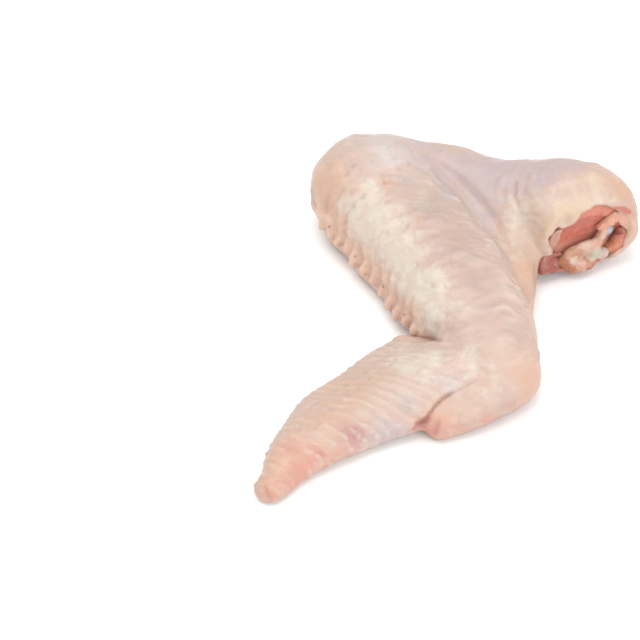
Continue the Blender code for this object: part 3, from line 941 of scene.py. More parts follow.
@dataclass
class SkinBody:
    """The wing under its skin: the form of the solid, with its wrinkles, pits and tints."""

    form: WingForm
    coarse: float = 1.0
    fine: float = 0.5
    ragged: float = 0.55
    skin_depth: float = 0.8
    table_fade: float = 3.0
    swells: Stations = ((0.8, 13), (0.35, 5))
    creases: tuple[Crease, ...] = (
        Crease(((-12.5, -4.4, 4), (-9.6, -7.6, 6), (-7.2, -11.6, 8), (-5, -16.5, 11)), -0.5, 2.2, 0.0),
        Crease(((-12.5, -4.4, 4), (-9.6, -7.6, 6), (-6.8, -11, 8), (-4.8, -15.6, 11)), 0.9, 0.45, 0.5),
        Crease(((1.8, -25.9, 12), (4.8, -26.3, 12), (7.8, -26.8, 11)), 0.35, 0.5, 0.1),
        Crease((
            (-11.5, -37.7, 5), (-8.2, -34, 7), (-3.9, -31, 9), (1.7, -27.9, 10), (7, -25, 11),
        ), -1.1, 2.3, 0.0),
        Crease(((-12.9, -38.3, 4), (-9.8, -35.3, 6), (-6.3, -32.6, 8), (-3, -30.6, 9)), 1.2, 0.45, 0.5),
        Crease(((-5.2, -31.8, 8.5), (-1.1, -29.5, 9), (3, -27.3, 10)), 0.5, 0.4, 0.2),
        Crease(((-9.4, -34.6, 6), (-10.6, -36.6, 5), (-12.4, -38.8, 3.5)), 0.5, 0.8, 0.9),
        Crease(((-6.2, -36.4, 6), (-7.4, -38, 4.5), (-8.2, -39.4, 2.5)), 0.5, 0.5, 0.7),
        Crease(((-46.5, -56.5, 5), (-46, -59.2, 3.5), (-44.6, -61, 1.5)), 0.5, 0.7, 0.5),
        Crease(((-31.5, 32, 14), (-27, 34.5, 19), (-22, 36.5, 23)), 0.4, 0.6, 0.1),
        Crease(((-29.5, 27.5, 12), (-25.5, 29, 17), (-21, 30.5, 20)), 0.45, 0.6, 0.15),
        Crease((
            (-7.9, 48.7, 22), (1.6, 39.2, 19), (9.3, 29.2, 15), (13.9, 14.3, 12), (17, -3, 11),
        ), 0.55, 1.2, 0.05),
        Crease((
            (-1.1, 43.7, 21), (3.3, 39, 19), (6.9, 34, 18), (12.2, 26.1, 14), (14.8, 15.4, 12),
        ), 0.14, 0.4, 0.06),
        Crease(((-11.9, 48.2, 25), (-7.8, 40.8, 22), (-3.4, 34.2, 21)), 0.22, 0.5, 0.05),
        Crease(((12.4, 34.4, 20), (13.6, 30.2, 17)), 0.14, 0.9, 0.05),
        Crease(((15.9, 35.4, 22), (15.4, 31.5, 20), (16, 28, 18)), 0.55, 0.6, 0.15),
        Crease(((18.4, 33, 21), (18.9, 29.4, 19)), 0.14, 0.9, 0.05),
        Crease(((-31, 52, 6), (-12, 60, 7), (8, 55, 7), (24, 49, 6)), 0.9, 1.5, 0.4),
        Crease(((-34, 52, 17), (-37, 44, 14), (-35, 36, 11)), 0.6, 1.1, 0.3),
        Crease(((-31, 56, 12), (-37, 49, 10), (-38, 42, 8)), 0.6, 1.1, 0.3),
        Crease(((36, 48, 8), (42, 44, 9), (48, 36, 9)), 0.6, 1.2, 0.3),
        Crease(((19, 20, 7), (20, 6, 7), (19, -6, 6)), 0.6, 1.1, 0.3),
    )
    wrinkles: tuple[Wrinkles, ...] = (
        Wrinkles(("forearm",), -4, 4.5, 1.3, 0.30, 0.0, 0.5, 0.1),
        Wrinkles(("forearm", "elbow"), 12, 6.0, 2.6, 0.45, 0.0, 0.45, 0.0),
        Wrinkles(("forearm",), -14, 3.4, 1.1, 0.05, 0.0, 0.05),
        Wrinkles(("forearm_edge",), 30, 5.5, 1.9, 0.7, 0.2, 0.4),
        Wrinkles(("forearm_edge",), 40, 2.4, 1.2, 0.22, 0.0, 0.2),
        Wrinkles(("hand", "hand_edge"), -29, 9.0, 1.25, 0.46, 0.6, 1.0),
        Wrinkles(("hand", "hand_edge"), -22, 3.0, 0.8, 0.12, 0.0, 0.2),
        Wrinkles(("thumb",), 25, 3.4, 1.2, 0.30, 0.0, 0.4),
        Wrinkles(("upper_arm", "shoulder"), 80, 3.6, 2.6, 0.24, 0.0, 0.3, 0.2),
        Wrinkles(("upper_arm", "shoulder", "web"), 8, 3.4, 1.2, 0.08, 0.0, 0.1, 0.3),
        Wrinkles(("web",), 75, 5.0, 1.6, 0.18, 0.0, 0.1, 0.3),
    )
    wrinkle_clearance: float = 2.2
    wrinkle_warp: float = 0.9
    wrinkle_warp_length: float = 6.0
    wrinkle_shift: float = 7.3
    patchy_length: float = 8.0
    patchy_least: float = 0.45
    pit_rows: tuple[float, ...] = (3.0, 7.0, 11.2, 15.6, 20.0)
    pit_spacing: float = 4.1
    edge_samples: int = 60
    pit_jitter: float = 0.6
    pit_depth: float = 0.2
    pit_radius: float = 0.6
    pit_rim: float = 0.14
    tip_height: float = 0.7
    tip_radius: float = 1.1
    lobe_fold_count: int = 8
    lobe_fold_reach: float = 3.4
    lobe_fold_height: float = 0.2
    lobe_fold_width: float = 0.9
    lobe_gap_depth: float = 0.4
    lobe_fold_seed: int = 21
    crease_count: int = 24
    crease_fade: float = 2.2
    crease_flush: float = 1.3
    # The gaps between the quill lobes are darkened as painted shade.
    lobe_gap_shade: float = 0.5
    edge_flush: tuple[float, float] = (3.0, 10.0)
    edge_count: int = 20
    edge_wander: Stations = ((2.2, 4.5), (0.8, 1.6))
    edge_strength: float = 0.75
    hand_pit_path: Stations = ((-17, -11, 0), (-29.5, -22.5, 0), (-39.5, -34.5, 0), (-44.4, -46, 0))
    hand_pit_count: int = 15
    hand_pit_insets: tuple[float, ...] = (3.2, 7.04)
    hand_pit_jitter: float = 0.4
    pit_seeds: tuple[int, int] = (5, 9)
    pit_fade: tuple[float, float] = (1.9, 0.6)
    patches: tuple[tuple[Tint, Stations], ...] = (
        (Tint.PEARL, (
            (-17, 45, 26, 10, 0.9), (-5, -28, 11, 5, 0.8), (-9, 40, 25, 7, 0.6), (8, 19, 18, 6, 0.4),
            (-11, 22, 22, 2.5, 0.6), (12, -4, 15, 5, 0.3), (-2.2, 32.3, 21, 4.5, 0.85),
            (12, 11, 15, 5, 0.4), (6.7, 28, 15, 5, 0.85))),
        (Tint.CREAM, (
            (-24, 29, 20, 5, 0.9), (-24, 27.5, 20, 3.5, 0.8), (-20, 21.5, 19, 6, 0.9),
            (-15.5, 12, 18, 6.5, 0.9), (-12, 2.3, 16, 6.5, 1), (-26, 26, 14, 4, 0.5), (-14, 3, 9.5, 3, 0.5),
            (-7.6, -5, 15, 6.5, 1), (0.5, -24, 13, 4, 0.7), (-8.5, -24, 11.6, 5, 0.8),
            (26, 23.5, 20, 5.5, 0.9), (36, 26, 22, 4, 0.7), (31, 24, 22, 4, 0.5), (6, -30, 10, 4, 0.4),
            # The cream patch at (17, 28, 18) is strengthened as painted light over the shade of the folds
            # there.
            (13, 20, 13, 5, 0.4), (17, 28, 18, 4.5, 0.95), (-15, -20, 10, 5, 0.7), (23.7, 26, 22, 3.5, 0.4),
        )),
        (Tint.PEACH, (
            (-32, 37, 19, 8, 0.65), (-34, 34, 10, 8, 0.9), (-27, 24, 8, 7, 0.8), (-19, 10, 7, 7, 0.8),
            (-12, -3, 6, 5, 0.9), (42, 32, 23, 6, 0.6), (46, 35, 18, 8, 0.8), (19, 14, 9, 6, 0.8),
            (20, 2, 8, 8, 0.8), (19, -13, 7, 9, 0.7), (16, -25, 9, 6, 0.7), (-27, -26, 7, 9, 0.5),
            (-15, -19, 9, 6, 0.2), (-33, -38, 8, 9, 0.4), (-42, -52, 6, 9, 0.9), (-17, 31.5, 24, 2.2, 0.8),
            (-6, -37, 5, 5, 0.7), (0, 58, 8, 12, 0.6), (-30, 56, 8, 12, 0.6), (30, 50, 10, 12, 0.6),
            (45, 40, 10, 10, 0.6))),
        (Tint.SAND, (
            (25, 21, 19, 5, 0.7), (29, 23, 22, 5, 0.5), (22, 17, 13, 5, 0.6), (33, 30, 26, 5, 0.4))),
        (Tint.LILAC, (
            (5, 40, 21, 7, 0.95), (12, 39.5, 22, 8, 1), (23, 35, 25, 7, 0.9), (30, 34, 26, 4, 0.6),
            (0, 32, 21, 5, 0.5), (5, 20, 19, 5, 0.4), (7, 29, 15, 4, 0.4), (-16, -39.5, 5, 4, 0.8),
            (-21, -41, 6, 3.5, 0.7), (-3, 44, 23, 6, 0.7), (-9, 50, 24, 6, 0.5), (28, 38, 26, 5, 0.5),
            (20, 47, 16, 9, 0.5), (-13, -34, 9, 3, 0.5), (0, -23, 14, 2.2, 0.5))),
        (Tint.DUSK, (
            (-6.5, 21, 23, 6.5, 1), (-1, 10.5, 21.5, 7, 1), (-6, 31, 24, 5, 0.4), (3, -2, 19, 6, 0.8),
            (7, -12, 17, 6, 0.5), (-26, 40, 24, 4, 0.4), (9, -31, 7, 4, 0.7), (0, -36.5, 4, 4, 0.6),
            (7, -33.5, 4, 4, 0.6), (-13, 33, 23, 3, 0.4), (15, -18, 12, 6, 0.5), (-14, -36, 7, 3, 0.4),
            (-4.9, 4.3, 20, 4, 0.5))),
        (Tint.ROSE, (
            (-45, -58, 3, 5, 0.5), (-39, -53, 3, 4.5, 0.7), (-33, -49, 2.5, 4, 0.6), (-9, -38.5, 3, 3, 0.8),
            (4.5, -34.5, 4, 4, 0.4), (10, -31, 3, 4, 0.3), (-3, -37, 3, 4, 0.4),
            (-10.5, -36.5, 4, 2.2, 0.9), (-27, -46, 2, 4, 0.6), (-38.5, -47.4, 6.7, 5, 0.3),
            (-8, -37.5, 5, 3.5, 0.4), (-20, 10, 3, 5, 0.3), (-28, 24, 3, 5, 0.3), (-12, -6.5, 3, 4, 0.3),
            (17, -22, 3, 7, 0.4), (-25.6, 31.4, 21, 1.8, 0.4), (-9, 18, 22, 1.5, 0.5),
            (-2.5, 14, 22, 1.6, 0.4))),
        (Tint.BRUISE, (
            (-27.6, -42.8, 7, 2.8, 0.7), (-25.4, -42.8, 6.5, 2.4, 0.75), (-34, -48, 5.3, 1, 0.7))),
        (Tint.SIDE, ((46.2, 28.6, 12.7, 3, 0.8), (46.1, 28.6, 9.5, 3, 0.9), (44.6, 28.6, 6.9, 2.6, 0.6))),
        (Tint.FLAP, ((44.8, 28.5, 16.3, 1.4, 0.8), (46, 29.3, 15.7, 1.4, 0.8))),
        (Tint.LINING, (
            (39.9, 26.8, 19, 1, 0.95), (40.6, 26.9, 18.8, 1.1, 0.95), (41.4, 27, 18.4, 1.1, 0.95),
            (42.2, 27.3, 18, 1.1, 0.95), (43.2, 27.7, 17.5, 1, 0.95), (44.3, 28.2, 17, 0.9, 0.95))),
        # These patches paint shade into the gap where the thumb meets the hand.
        (Tint.NOTCH, ((-10.6, -36.4, 5.3, 1.6, 0.8), (-9.4, -35, 6, 1, 0.6))),
        (Tint.QUILL, (
            (-17.3, 32.2, 23.6, 2.4, 0.35), (-18.5, 10.6, 7.5, 0.7, 0.6), (-15, 3.7, 7.4, 0.7, 0.5),
            (-11.6, -2.4, 7.7, 0.8, 0.6))),
    )
    patch_warp: float = 2.2
    patch_warp_length: float = 5.0
    patch_warp_radius: float = 6.0
    patch_fine_warp: float = 0.6
    patch_fine_length: float = 1.7

    def build(self) -> Sculpt:
        """Grow the skin, cut it, raise its relief and note the masks.

        Returns:
            The sculpted skin, still without its finish.
        """
        form = self.form
        limbs = [*form.skin.values(), *form.lobes]
        skin = Sculpt.from_limbs("skin", limbs, form.flesh_with_lobes, self.coarse)
        skin.cut_away(form.front_block("front", form.cut_left_end, form.cut_wave))
        socket = Sculpt.from_limbs("socket", form.hollows, form.open_hollow, self.coarse)
        for name, fold in form.folds.items():
            form.dig(name, socket, fold, 0.0, self.coarse)
        skin.cut_away(socket)
        skin.draw_onto(form.carved, self.coarse)
        skin.draw_onto(lambda points: form.carved(points, self.ragged), self.fine, 2)
        plain = skin.points
        depth = -form.flesh_with_lobes(plain)
        outer = np.clip(1 - depth / self.skin_depth, 0, 1)
        rise, masks = self.relief(plain)
        off_table = np.clip(plain[:, 2] / self.table_fade, 0, 1)
        raised = plain + skin.normals * (rise * outer * off_table)[:, None]
        raised[:, 2] = np.maximum(raised[:, 2], 0)
        skin.points = raised
        skin.keep(masks)
        skin.keep(self.cut_masks(plain, depth))
        return skin

    def cut_masks(self, points: Points, depth: Values) -> dict[str, Values]:
        """Where the skin lines the cut, where that lies deep, and its paler right side.

        Args:
            points: the corners of the plain skin.
            depth: how far each lies under the skin.

        Returns:
            The masks by name.
        """
        within = {name: -fold.distance(points) for name, fold in self.form.folds.items()}
        on_fold = smooth_step(np.max(list(within.values()), axis=0), 0.1, 0.6)
        on_right = smooth_step(np.maximum(within["right_high"], within["right_low"]), -0.9, -0.2)
        across, height = self.form.along_cut(points)
        beside = smooth_step(across, 5.5, 9.0) * smooth_step(height, -8, -1)
        return {"inside": smooth_step(depth, 0.5, 1.3) * (1 - on_fold),
                "deep": smooth_step(depth, 1.5, 6.0),
                "pale side": np.maximum(beside, on_right)}

    def relief(self, points: Points) -> tuple[Values, dict[str, Values]]:
        """How far the outer skin rises, and the masks of its tints.

        Args:
            points: the corners of the plain skin.

        Returns:
            The rise at each corner, and the masks by name.
        """
        rise = np.zeros(len(points))
        for height, length in self.swells:
            rise += height * noise_at(points, length)
        redness_and_shade = np.zeros(len(points))
        for crease in self.creases:
            line = settle(self.form.flesh, spline(crease.path, self.crease_count))
            away, share = path_distance(points, line)
            fade = np.clip(np.sin(np.pi * share) * self.crease_fade, 0, 1)
            rise -= crease.depth * (fade * np.exp(-(away / crease.width) ** 2))
            # Each crease turns rosy, partly real pinker skin and partly painted shade.
            flush = np.exp(-(away / crease.width / self.crease_flush) ** 2)
            redness_and_shade = np.maximum(redness_and_shade, crease.redness_and_shade * fade * flush)
        folds, ridge = self.wrinkle_relief(points)
        pits, pitted = self.pit_relief(points)
        lobes, gaps = self.lobe_relief(points)
        # The crease mask also darkens the gaps between the quill lobes as painted shade.
        masks = {"crease": np.maximum(redness_and_shade, self.lobe_gap_shade * gaps), "ridge": ridge, "pit": pitted}
        masks.update(self.tint_masks(points))
        # The band along the quill lobes takes the edge tint, lightened as painted light against the shade on
        # the down-curving edge.
        edge = path_distance(points, spline(self.form.lobe_path, self.edge_count))[0]
        (slow, slow_length), (quick, quick_length) = self.edge_wander
        edge += slow * noise_at(points, slow_length) + quick * noise_at(points, quick_length)
        masks["edge"] = self.edge_strength * (1 - smooth_step(edge, *self.edge_flush))
        return rise + folds + pits + lobes, masks

    def lobe_relief(self, points: Points) -> tuple[Values, Values]:
        """How far the folds that run in from the quill lobes rise, with gaps between them.

        Args:
            points: the corners of the plain skin.

        Returns:
            The rise at each corner, and a mask of the gaps.
        """
        random = np.random.default_rng(self.lobe_fold_seed)
        form = self.form
        tips = np.array([lobe.centre[-1] + lobe.along[-1] * lobe.half_width[-1] for lobe in form.lobes])
        ways = np.array([lobe.along[-1] for lobe in form.lobes])
        rise = np.zeros(len(points))
        for tip in tips:
            bump = np.exp(-((points - tip) ** 2).sum(1) / self.tip_radius ** 2)
            rise += self.tip_height * random.uniform(0.3, 1.3) * bump
        gaps = np.zeros(len(points))
        between = (tips[1:] + tips[:-1]) / 2
        folds = ((tips, self.lobe_fold_height, ways), (between, -self.lobe_gap_depth, ways[1:]))
        for starts, height, turned in folds:
            for start, way in zip(starts, turned):
                reach = self.lobe_fold_reach * random.uniform(0.6, 1.3)
                aside = np.cross(way, UP) * random.uniform(-1.6, 1.6)
                bends = (start, start - way * reach / 2, start - way * reach + aside)
                line = drop_onto(form.flesh_with_lobes, spline(bends, self.lobe_fold_count))
                away, share = path_distance(points, line)
                lift = (1 - share) * np.exp(-(away / self.lobe_fold_width) ** 2)
                lift = lift * random.uniform(0.6, 1.2)
                rise += height * lift
                if height < 0:
                    gaps = np.maximum(gaps, lift)
        return rise, gaps

    def wrinkle_relief(self, points: Points) -> tuple[Values, Values]:
        """The wrinkles of each limb, faded into those of its neighbours.

        Args:
            points: the corners of the plain skin.

        Returns:
            The rise at each corner, and a mask that is 0 in the valleys and 1 on the ridges,
            which the finish turns into painted shade in the valleys and a painted highlight on the ridges.
        """
        distances = {name: limb.distance(points) for name, limb in self.form.skin.items()}
        least = np.min(list(distances.values()), axis=0)
        shares = {name: np.exp((least - away) / self.wrinkle_clearance) for name, away in distances.items()}
        total = np.sum(list(shares.values()), axis=0)
        warped = points + self.wrinkle_warp * drift(points, self.wrinkle_warp_length, (3.1, 17.7, 31.3))
        patchy = smooth_step(noise_at(points, self.patchy_length, 51.0), -0.35, 0.35)
        patchy = self.patchy_least + (1 - self.patchy_least) * patchy
        rise = np.zeros(len(points))
        ridge = np.zeros(len(points))
        for index, fold in enumerate(self.wrinkles):
            share = np.sum([shares[name] for name in fold.limbs], axis=0) / total
            wave = stretched_noise(warped, fold.turn, fold.length, fold.width, self.wrinkle_shift * index)
            crests, swell = np.abs(wave) ** 0.8, np.clip(0.35 + 0.9 * wave, 0, 1)
            bulge = fold.sharp * crests + (1 - fold.sharp) * swell
            if fold.regular:
                angle = math.radians(fold.turn)
                across = warped[:, 1] * math.cos(angle) - warped[:, 0] * math.sin(angle)
                rows = (0.5 + 0.5 * np.sin(np.pi * across / fold.width)) ** 1.8
                bulge = bulge * (1 - fold.regular) + fold.regular * rows * (0.35 + 0.9 * bulge)
            rise += fold.height * share * patchy * (1.6 * bulge - 0.5)
            ridge += fold.tone * share * patchy * bulge
        return rise, smooth_step(ridge, 0.05, 0.7)

    def pits(self) -> Points:
        """Places of the feather follicles.

        Returns:
            The places, on the surface of the skin.
        """
        random = np.random.default_rng(self.pit_seeds[0])
        form = self.form
        edge = spline(form.lobe_path, self.edge_samples)
        length = np.linalg.norm(np.diff(edge, axis=0), axis=1).sum()
        count = int(length / self.pit_spacing)
        hand = spline(self.hand_pit_path, self.hand_pit_count)
        rows = [(spline(form.lobe_path, 2 * count + 1)[row % 2::2], inset, self.pit_jitter)
                for row, inset in enumerate(self.pit_rows)]
        rows += [(hand, inset, self.hand_pit_jitter) for inset in self.hand_pit_insets]
        found = []
        for line, inset, jitter in rows:
            inward = unit(np.cross(UP, np.gradient(line, axis=0)))
            found.append(line + inward * inset + random.normal(0, jitter, line.shape))
        return drop_onto(form.flesh, np.vstack(found))

    def pit_relief(self, points: Points) -> tuple[Values, Values]:
        """The follicles: a small pit each, with a low rim round it.

        Args:
            points: the corners of the plain skin.

        Returns:
            The rise at each corner, and a mask of the pits.
        """
        random = np.random.default_rng(self.pit_seeds[1])
        rim_place, rim_width = self.pit_fade
        rise = np.zeros(len(points))
        pitted = np.zeros(len(points))
        for place in self.pits():
            away = np.linalg.norm(points - place, axis=1)
            close = away < 5 * self.pit_radius
            reach = away[close] / (self.pit_radius * random.uniform(0.8, 1.3))
            strength = random.uniform(0.3, 1.0)
            dip = np.exp(-reach ** 2)
            rim = np.exp(-(reach - rim_place) ** 2 / rim_width)
            rise[close] += strength * (self.pit_rim * rim - self.pit_depth * dip)
            pitted[close] = np.maximum(pitted[close], strength * dip)
        return rise, pitted

    def tint_masks(self, points: Points) -> dict[str, Values]:
        """How strong each tint is at each corner, with wandering edges.

        Args:
            points: the corners of the plain skin.

        Returns:
            A mask for each tint, by its name.
        """
        warp = self.patch_warp * drift(points, self.patch_warp_length, (61.0, 73.0, 87.0))
        warp = warp + self.patch_fine_warp * drift(points, self.patch_fine_length, (11.0, 23.0, 37.0))
        masks = {}
        for tint, spots in self.patches:
            clear = np.ones(len(points))
            for x, y, z, radius, strength in spots:
                share = min(1.0, radius / self.patch_warp_radius)
                away = ((points + share * warp - (x, y, z)) ** 2).sum(1) / radius ** 2
                clear *= 1 - strength * np.exp(-away)
            masks[tint.name.lower()] = 1 - clear
        return masks

    def dress(self) -> list[Piece]:
        """Build the skin and give it its finish."""
        return [self.build().finished(SkinFinish().material(), "skin", "wing")]


@dataclass
class ShoulderMuscle:
    """The red muscle in the cut, with its fibres."""

    form: WingForm
    gap: float = -0.15
    coarse: float = 1.0
    fine: float = 0.42
    block_left: float = -22.0
    dig_voxel: float = 0.8
    fibre_turn: float = 35.0
    fibre_length: float = 4.2
    fibre_width: float = 0.75
    fibre_height: float = 0.12
    square_place: tuple[float, float] = (3.0, -2.0)
    square_half: tuple[float, float] = (1.9, 2.9)
    square_lean: float = 0.15

    def field(self, points: Points) -> Values:
        """The muscle with this piece's own gap."""
        return self.form.muscle(points, self.gap)

    def build(self) -> Sculpt:
        """Grow the muscle, with its face hollowed and room for the bone and the folds.

        Returns:
            The plain muscle.
        """
        form = self.form
        muscle = Sculpt.from_limbs(
            "muscle", form.hollows, lambda points: form.open_hollow(points) + self.gap, self.coarse)
        muscle.cut_away(form.front_block(
            "muscle front", self.block_left, lambda across, up: -form.face_depth(across, up)))
        for name, limb in {"bone tunnel": form.bone_limb, **form.folds}.items():
            form.dig(name, muscle, limb, self.gap, self.dig_voxel)
        muscle.draw_onto(self.field, self.fine, 3)
        return muscle

    def dress(self) -> list[Piece]:
        """Raise the muscle's fibres, note its masks and give it its finish.

        Returns:
            The finished piece alone.
        """
        muscle = self.build()
        points = muscle.points
        fibres = np.abs(stretched_noise(points, self.fibre_turn, self.fibre_length, self.fibre_width, 0.0))
        face = smooth_step(self.form.ahead_of_muscle(points), -1.2, -0.2)
        muscle.points = points - muscle.normals * (self.fibre_height * (1 - fibres) * face)[:, None]
        across, height = self.form.along_cut(points)
        middle, level = self.square_place
        lean = across - self.square_lean * (height - level)
        square = np.maximum(np.abs(lean - middle) / self.square_half[0],
                            np.abs(height - level) / self.square_half[1])
        top = smooth_step(height, 5.5, 7.0)
        # The masks of the square pit and of the low muscle carry painted light in the finish.
        muscle.keep({"fibre": fibres, "dark square": 1 - smooth_step(square, 0.75, 1.15),
                     "upper band": smooth_step(height, 0.5, 3.0) * (1 - top), "top": top,
                     "low": 1 - smooth_step(height, -3.0, 0.0)})
        return [muscle.finished(MeatFinish().material(), "meat", "shoulder_muscle")]


@dataclass
class HumerusHead:
    """The bone, with the pearly cartilage of its head at the cut."""

    form: WingForm
    fine: float = 0.35
    dent: float = 0.18
    dents: Stations = ((0.7, 2.4), (0.3, 0.9))

    def dress(self) -> list[Piece]:
        """Grow the bone, dent its head and give it its finish.

        Returns:
            The finished piece alone.
        """
        head = Sculpt.from_limbs("bone_head", [self.form.bone_limb], self.form.bone, self.fine)
        points = head.points
        (wide, wide_length), (small, small_length) = self.dents
        uneven = noise_at(points, wide_length) * wide + noise_at(points, small_length) * small
        head.points = points - head.normals * (self.dent * (0.6 - uneven))[:, None]
        head.keep({"rosy": smooth_step(-uneven, 0.0, 0.5)})
        return [head.finished(CartilageFinish().material(), "cartilage", "humerus")]


@dataclass
class FatPiece:
    """What both pieces of fat have: their clear space and the voxels that they are drawn with."""

    form: WingForm
    gap: float = 0.0
    lip_gap: float = -0.2
    coarse: float = 0.45
    fine: float = 0.3

    def field(self, points: Points) -> Values:
        """The piece's own field; each piece has its own."""
        raise NotImplementedError

    def grown(self, name: str, limbs: Iterable[Limb]) -> Sculpt:
        """Grow the piece from its limbs, even it out, then draw it finely.

        Args:
            name: what to call it.
            limbs: its limbs.

        Returns:
            The plain piece.
        """
        fat = Sculpt.from_limbs(name, limbs, self.field, self.coarse)
        fat.smooth_out(self.field, self.coarse)
        fat.draw_onto(self.field, self.fine, 3)
        return fat


@dataclass
class FatStrip(FatPiece):
    """The pale strip of tendon and the lobes of fat over the lower lip of the cut."""

    lump_height: float = 0.25
    lump_length: float = 3.2
    facet_height: float = 1.0
    crinkle_height: float = 0.07
    crinkle_length: float = 0.9
    rise_limits: tuple[float, float] = (-0.6, 0.4)
    spot_warp: float = 0.5
    spot_warp_length: float = 1.3
    spots: tuple[tuple[str, Stations], ...] = (
        ("brown", ((28.4, 22, 5.4, 1.5), (30.2, 22.4, 3.2, 1.9), (28.6, 22.2, 3.2, 1.8))),
        ("tan", (
            (28.3, 22.5, 7.4, 1.7), (29.9, 22.7, 7.6, 1.7), (31.8, 23, 7.6, 1.9), (34.4, 24, 4, 1.7),
            (32.4, 23.2, 3, 1.5))),
        ("whitish", (
            (30.8, 22.7, 5.8, 1.3), (33.6, 24.8, 9.6, 1.6), (35.4, 24.3, 6.2, 1.6), (38.2, 27.6, 10.5, 1.4),
        )),
        ("green", ((37, 24.9, 6.4, 1.8), (29.4, 22.8, 6.6, 0.9))),
        ("lilac", ((39.1, 26, 5.6, 1.6), (38.2, 26, 3.9, 1.3))),
        ("orange", ((41.5, 28, 16.6, 2.4), (39.2, 27.3, 15, 2), (36.9, 26.8, 13.6, 1.8))),
        ("red", ((34.5, 23.8, 2.5, 1.2), (35.9, 24.4, 2.9, 1.3), (37.2, 25.1, 3.4, 1.1))),
    )

    def field(self, points: Points) -> Values:
        """The strip with this piece's own gaps."""
        return self.form.strip_of_fat(points, self.gap, self.lip_gap)

    def dress(self) -> list[Piece]:
        """Grow the strip, give it its lumps and its finish.

        Returns:
            The finished piece alone.
        """
        strip = self.grown("fat_strip", self.form.strip)
        points = strip.points
        lumps = lobules_at(points / self.lump_length)
        crinkles = np.abs(noise_at(points, self.crinkle_length, 9.0))
        facets = facets_at(points / self.lump_length)
        rise = self.lump_height * (lumps - 0.6) + self.crinkle_height * (crinkles - 0.5)
        rise = np.clip(rise + self.facet_height * facets, *self.rise_limits)
        ahead = smooth_step(self.form.ahead_of_muscle(points), 0.2, 1.0)
        strip.points = points + strip.normals * (rise * ahead)[:, None]
        masks = {"lump": 0.45 + 0.55 * smooth_step(lumps, 0.0, 0.3)}
        warped = points + self.spot_warp * drift(points, self.spot_warp_length, (3.0, 9.0, 14.0))
        for name, spots in self.spots:
            clear = np.ones(len(points))
            for x, y, z, radius in spots:
                within = 1 - np.linalg.norm(warped - (x, y, z), axis=1) / radius
                clear *= 1 - smooth_step(within, -0.5, 0.55)
            masks[name] = 1 - clear
        strip.keep(masks)
        return [strip.finished(FatFinish().material(), "fat", "fat_and_tendon")]


@dataclass
class PocketFat(FatPiece):
    """The lump of darker fat between the bone and the skin."""

    gap: float = -0.3
    lip_gap: float = -0.4
    lump_height: float = 0.16
    lump_length: float = 1.9

    def field(self, points: Points) -> Values:
        """The lump with this piece's own gaps."""
        return self.form.pocket_fat(points, self.gap, self.lip_gap)

    def dress(self) -> list[Piece]:
        """Grow the lump, make it uneven and give it its finish.

        Returns:
            The finished piece alone.
        """
        lump = self.grown("dark_fat", [self.form.pocket_limb])
        points = lump.points
        lumps = lobules_at(points / self.lump_length)
        lump.points = points + lump.normals * (self.lump_height * np.minimum(lumps - 0.5, 0))[:, None]
        lump.keep({"lump": smooth_step(lumps, 0.0, 0.5), "upper": smooth_step(points[:, 2], 7.0, 9.5)})
        return [lump.finished(DarkFatFinish().material(), "dark_fat", "pocket_fat")]


@dataclass
class Membranes:
    """Thin sheets of tissue in the cut: at its left, under its upper rim, and round the bone."""

    form: WingForm
    fine: float = 0.25
    crinkle_height: float = 0.14
    crinkle_length: float = 2.0
    sheets: tuple[tuple[str, Tint, Tint, tuple[LimbPlan, ...]], ...] = (
        ("left_membrane", Tint.MEMBRANE, Tint.FLAP, (
            LimbPlan("edge", (
                (23.8, 21.7, 0.35, 0.8, 9.8), (24.7, 22.1, 0.4, 1.5, 11.3), (25.7, 22.5, 0.4, 1.3, 14),
                (26.8, 23, 0.35, 0.6, 15.9))),
        )),
        # The left folds are a darker red, partly real tissue and partly painted shade of the hollow.
        ("left_folds", Tint.FOLD, Tint.MEMBRANE, (
            LimbPlan("upright", (
                (22.4, 20.6, 0.9, 0.8, 4.5), (22.9, 21, 1, 1.4, 6.3), (23.9, 21.6, 0.7, 1.2, 8.1))),
            LimbPlan("level", (
                (23.9, 21.6, 0.6, 0.9, 8.3), (25.4, 22.3, 0.6, 0.8, 8.4), (27.1, 22.9, 0.5, 0.4, 8.7),
            ), 0.8),
            LimbPlan("middle", (
                (23.2, 21.6, 0.8, 1.2, 5.2), (25, 22.6, 0.9, 1.5, 5.2), (27, 23.4, 0.8, 1.2, 5)), 0.8),
            LimbPlan("lip", (
                (22.6, 20.6, 0.9, 0.7, 4.2), (25.6, 22.1, 1, 0.8, 3.9), (28.4, 23.3, 0.9, 0.8, 3)), 0.8),
        )),
        ("upper_membrane", Tint.FLAP, Tint.PEACH, (
            LimbPlan("sheet", (
                (41.6, 27.9, 0.45, 0.9, 17.3), (43, 28.4, 0.5, 1.9, 15), (44.6, 29, 0.5, 2.2, 12.9),
                (45.4, 29.3, 0.4, 1.2, 11.4))),
        )),
        # The lining sheet's red is lightened as painted light, since the sheet lies in shade.
        ("lining", Tint.RED, Tint.LINING, (
            LimbPlan("sheet", (
                (37.6, 28, 0.6, 1.1, 17), (39.6, 28.6, 0.7, 1.9, 16.2), (42, 29.4, 0.7, 2.4, 15))),
        )),
    )

    def dress(self) -> list[Piece]:
        """Grow each sheet, crinkle it and give it its finish.

        Returns:
            The finished sheets.
        """
        done = []
        for name, tint, pale, plans in self.sheets:
            limbs = [Limb(plan.stations) for plan in plans]
            sheet = Sculpt.from_limbs(
                name, limbs, lambda points: self.form.joined(plans, limbs, points), self.fine)
            points = sheet.points
            crinkles = drift(points, self.crinkle_length, (3.0, 9.0, 14.0))
            sheet.points = points + self.crinkle_height * crinkles
            sheet.keep({"edge": smooth_step(np.abs(crinkles[:, 0]), 0.05, 0.4)})
            finish = MembraneFinish(name=name.replace("_", " "), plain=tint.value, pale=pale.value)
            done.append(sheet.finished(finish.material(), "fat"))
        return done


